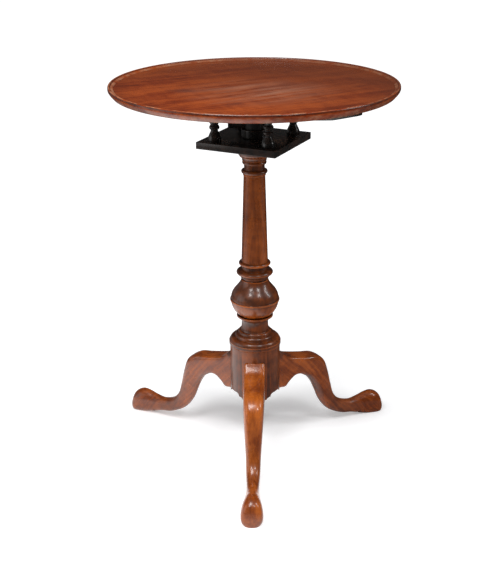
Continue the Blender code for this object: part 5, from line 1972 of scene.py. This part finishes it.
@dataclass
class SlideCatch(Assembly):
    """Brass catch under the board: plate with its box, four screws and the bolt with its knob."""

    start: float = 0.0870
    plate_length: float = 0.0460
    plate_width: float = 0.0300
    plate_thickness: float = 0.0022
    box_length: float = 0.0240
    box_width: float = 0.0140
    box_height: float = 0.0150
    edge_round: float = 0.0007
    bore_facets: int = 40
    bolt_facets: int = 48
    bolt_round: float = 0.0009
    bolt_radius: float = 0.0035
    bolt_nose: float = 0.0810
    bolt_tail: float = 0.0130
    knob_radius: float = 0.0062
    knob_length: float = 0.0100
    screw: tuple[float, float, float, float] = (0.0028, 0.0012, 0.0015, 0.0100)
    screw_inset: float = 0.0050

    def build(self) -> None:
        """Builds the catch."""
        under = self.layout.board[0]
        middle = self.start + self.plate_length / 2
        half = self.plate_width / 2
        plate_low = under - SEAT - self.plate_thickness
        bm = slab((self.start, -half, plate_low), (self.start + self.plate_length, half, under - SEAT))
        housing = slab(
            (middle - self.box_length / 2, -self.box_width / 2, under - self.box_height),
            (middle + self.box_length / 2, self.box_width / 2, plate_low + self.plate_thickness / 2),
        )
        rounded(bm, self.edge_round, 2)
        rounded(housing, 2 * self.edge_round, 3)
        bm = carved(bm, [housing], Work.JOIN)
        bore_ends = [(middle + reach, 0, self.layout.bolt.z) for reach in (-self.box_length, self.box_length)]
        bore = rod(self.bolt_radius + SEAT, *bore_ends, self.bore_facets)
        bm = moved(carved(bm, [bore]), self.layout.cage)
        Piece("brass_catch", Body.TOP, Slot.BRASS, ("catch_plate",)).finish(bm, self.palette.brass)
        ends = (self.start + self.screw_inset, self.start + self.plate_length - self.screw_inset)
        spots = [(x, y) for x in ends for y in (self.screw_inset - half, half - self.screw_inset)]
        head = plate_low - SEAT - self.screw[1]
        for number, (x, y) in enumerate(spots, start=1):
            screw = self.fasteners.screw(*self.screw)
            moved(screw, self.layout.cage @ Matrix.Translation((x, y, head)))
            piece = Piece(f"brass_catch_screw_{number}", Body.TOP, Slot.BRASS, (f"catch_screw_{number}",))
            piece.finish(screw, self.palette.brass)
        self.build_bolt(middle + self.box_length / 2 + self.bolt_tail)

    def build_bolt(self, knob: float) -> None:
        """Builds the bolt, drawn back, with its turned knob.

        Args:
            knob: where the knob starts, from the pillar's axis.
        """
        outline = Outline(0.0)
        outline.add(Member(Cut.FILLET, knob - self.bolt_nose, self.bolt_radius))
        outline.add(Member(Cut.BEAD, self.knob_length, self.bolt_radius, self.knob_radius))
        bm = turned(softened(outline.points, self.bolt_round), self.bolt_facets)
        place = Matrix.Translation((self.bolt_nose, 0, self.layout.bolt.z)) @ rotation(90, "Y")
        moved(bm, self.layout.cage @ place)
        Piece("sliding_bolt", Body.BOLT, Slot.BRASS, ("catch_bolt",)).finish(bm, self.palette.brass)


@dataclass(frozen=True)
class SoftBox:
    """A square or oblong studio lamp that looks at a point."""

    name: str
    place: Triple
    target: Triple
    size: Point
    power: float

    def build(self) -> None:
        """Hangs the lamp."""
        lamp = bpy.data.lights.new(self.name, "AREA")
        lamp.shape = "RECTANGLE"
        lamp.size, lamp.size_y = self.size
        lamp.energy = self.power
        obj = linked(self.name, lamp)
        obj.location = self.place
        view = Vector(self.target) - Vector(self.place)
        obj.rotation_euler = view.to_track_quat("-Z", "Y").to_euler()


@dataclass
class Studio:
    """White floor, soft lamps and the camera at the photograph's viewing angle."""

    floor_size: float = 24.0
    floor_colour: Colour = (0.895, 0.905, 0.920)
    shade_centre: Point = (0.01, 0.16)
    shade_size: Point = (0.21, 0.075)
    glow_reach: float = 14.0
    glow_steps: tuple[Point, ...] = ((0.02, 0.10), (0.07, 0.28), (0.12, 0.44), (1.0, 0.75))
    mirror_floor: float = 1.60
    mirror_front: float = 0.04
    front_end: float = -0.70
    front_start: float = -0.20
    back_start: float = 0.18
    back_end: float = 0.55
    back_dim: float = 0.15
    bright_side: float = 0.02
    dark_side: float = 0.20
    dark_dim: float = 0.12
    left_end: float = -1.30
    left_start: float = -0.50
    left_dim: float = 0.25
    under_reach: Point = (0.3, 1.8)
    under_dim: float = 0.15
    camera_place: Triple = (0.04236, -1.86461, 1.09152)
    camera_pitch: float = math.radians(21.787)
    camera_heading: float = math.radians(1.560)
    camera_roll: float = math.radians(-0.297)
    lens: float = 68.05
    sensor: float = 36.0
    lamps: tuple[SoftBox, ...] = (
        SoftBox("overhead", (-0.2, 0.3, 2.7), (0.0, 0.0, 0.3), (2.4, 2.4), 5.0),
        SoftBox("key", (-0.45, -0.85, 2.60), (0.0, 0.0, 0.3), (0.90, 0.80), 30.0),
        SoftBox("front_left", (-0.82, -1.40, 2.25), (0.0, 0.0, 0.35), (0.52, 0.36), 11.0),
        SoftBox("front_right", (0.82, -1.40, 2.25), (0.0, 0.0, 0.35), (0.52, 0.36), 11.0),
        SoftBox("left_wall", (-2.2, -0.6, 0.9), (0.0, 0.0, 0.4), (1.6, 1.7), 8.0),
        SoftBox("right_strip", (1.65, -0.15, 1.5), (0.0, 0.0, 0.3), (0.24, 1.00), 8.0),
    )
    fill: float = 0.33
    mirror_room: float = 0.035
    mirror_left: float = 0.38
    wall_side: Point = (-0.30, -0.85)
    wall_top: Point = (0.45, 0.10)

    def build(self) -> None:
        """Sets up the whole studio."""
        bpy.context.scene.view_settings.view_transform = "Standard"
        self.build_floor()
        self.build_world()
        for lamp in self.lamps:
            lamp.build()
        self.build_camera()

    def build_floor(self) -> None:
        """Lays a white floor; to the camera it also glows, least in an oval behind the pillar, a painted
        light that lets the shadow show only there.

        Reflections see it go dark towards the camera, as past the paper's end, and behind, beside and
        under the table.
        """
        bm = bmesh.new()
        bmesh.ops.create_grid(bm, x_segments=1, y_segments=1, size=self.floor_size / 2)
        floor = loose_object("studio_floor", bm)
        material = bpy.data.materials.new("studio_floor")
        material.use_nodes = True
        sketch = NodeSketch(material.node_tree)
        sketch.tree.nodes.clear()
        paper = sketch.add("ShaderNodeBsdfDiffuse", {"Color": (*self.floor_colour, 1.0)})
        place = sketch.add("ShaderNodeTexCoord").outputs["Object"]
        rays = sketch.add("ShaderNodeLightPath").outputs
        # painted light: the floor glows to the camera, weakest in the shade oval behind the pillar
        reach = sketch.oval(place, self.shade_centre, self.shade_size)
        stops = [(spot, (level, level, level)) for spot, level in self.glow_steps]
        distant = sketch.ramp(sketch.math("DIVIDE", reach, self.glow_reach, clamp=True), stops)
        glow = sketch.add("ShaderNodeEmission", {"Color": distant, "Strength": rays["Is Camera Ray"]})
        seen = sketch.add("ShaderNodeAddShader", {0: paper.outputs[0], 1: glow.outputs[0]})
        axes = sketch.add("ShaderNodeSeparateXYZ", {"Vector": place}).outputs
        levels = (self.mirror_front, self.mirror_floor)
        bright = sketch.spread(axes["Y"], self.front_end, self.front_start, *levels)
        for value, dark, full, least in (
            (axes["X"], self.dark_side, self.bright_side, self.dark_dim),
            (axes["X"], self.left_end, self.left_start, self.left_dim),
            (reach, *self.under_reach, self.under_dim),
            (axes["Y"], self.back_end, self.back_start, self.back_dim),
        ):
            bright = sketch.times(bright, sketch.spread(value, dark, full, least))
        mirrored = sketch.add("ShaderNodeEmission", {"Color": (1.0, 1.0, 1.0, 1.0), "Strength": bright})
        inputs = {0: rays["Is Glossy Ray"], 1: seen.outputs[0], 2: mirrored.outputs[0]}
        both = sketch.add("ShaderNodeMixShader", inputs)
        sketch.add("ShaderNodeOutputMaterial", {"Surface": both.outputs[0]})
        material.cycles.emission_sampling = "NONE"
        floor.data.materials.append(material)

    def build_world(self) -> None:
        """Lights the room softly: white to the camera, dim overhead in reflections."""
        world = bpy.data.worlds.new("studio")
        bpy.context.scene.world = world
        world.use_nodes = True
        sketch = NodeSketch(world.node_tree)
        sketch.tree.nodes.clear()
        direction = sketch.add("ShaderNodeTexCoord").outputs["Generated"]
        axes = sketch.add("ShaderNodeSeparateXYZ", {"Vector": direction}).outputs
        left = sketch.spread(axes["X"], *self.wall_side, 0.0, self.mirror_left)
        low = sketch.spread(axes["Z"], *self.wall_top)
        mirrored = sketch.math("ADD", sketch.times(left, low), self.mirror_room)
        rays = sketch.add("ShaderNodeLightPath").outputs
        inputs = {0: rays["Is Glossy Ray"], 2: self.fill, 3: mirrored}
        level = sketch.add("ShaderNodeMix", inputs, data_type="FLOAT").outputs[0]
        inputs = {0: rays["Is Camera Ray"], 2: level, 3: 1.0}
        level = sketch.add("ShaderNodeMix", inputs, data_type="FLOAT").outputs[0]
        light = sketch.add("ShaderNodeBackground", {"Color": (1.0, 1.0, 1.0, 1.0), "Strength": level})
        sketch.add("ShaderNodeOutputWorld", {"Surface": light.outputs[0]})
        world.cycles.sampling_method = "NONE"

    def build_camera(self) -> None:
        """Places the camera."""
        camera = bpy.data.cameras.new("camera")
        camera.sensor_fit = "VERTICAL"
        camera.sensor_height = self.sensor
        camera.lens = self.lens
        obj = linked("camera", camera)
        obj.matrix_world = (
            Matrix.Translation(self.camera_place)
            @ Matrix.Rotation(self.camera_heading, 4, "Z")
            @ Matrix.Rotation(math.radians(90) - self.camera_pitch, 4, "X")
            @ Matrix.Rotation(self.camera_roll, 4, "Z")
        )
        bpy.context.scene.camera = obj


def main() -> None:
    """Loads the frame, builds every sub-assembly around it and sets up the studio."""
    logging.basicConfig(level=logging.INFO, format="%(name)s: %(message)s")
    for obj in list(bpy.data.objects):
        bpy.data.objects.remove(obj, do_unlink=True)
    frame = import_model()
    shared = (Layout.read(frame), Palette(), Fasteners())
    for assembly in (
        TurnedPillar, CabrioleLegs, HubBrace, CollarAndWedge, BalusterCage, RoundTop, Cleats, SlideCatch,
    ):
        assembly(*shared).build()
    Studio().build()


if __name__ == "__main__":
    main()
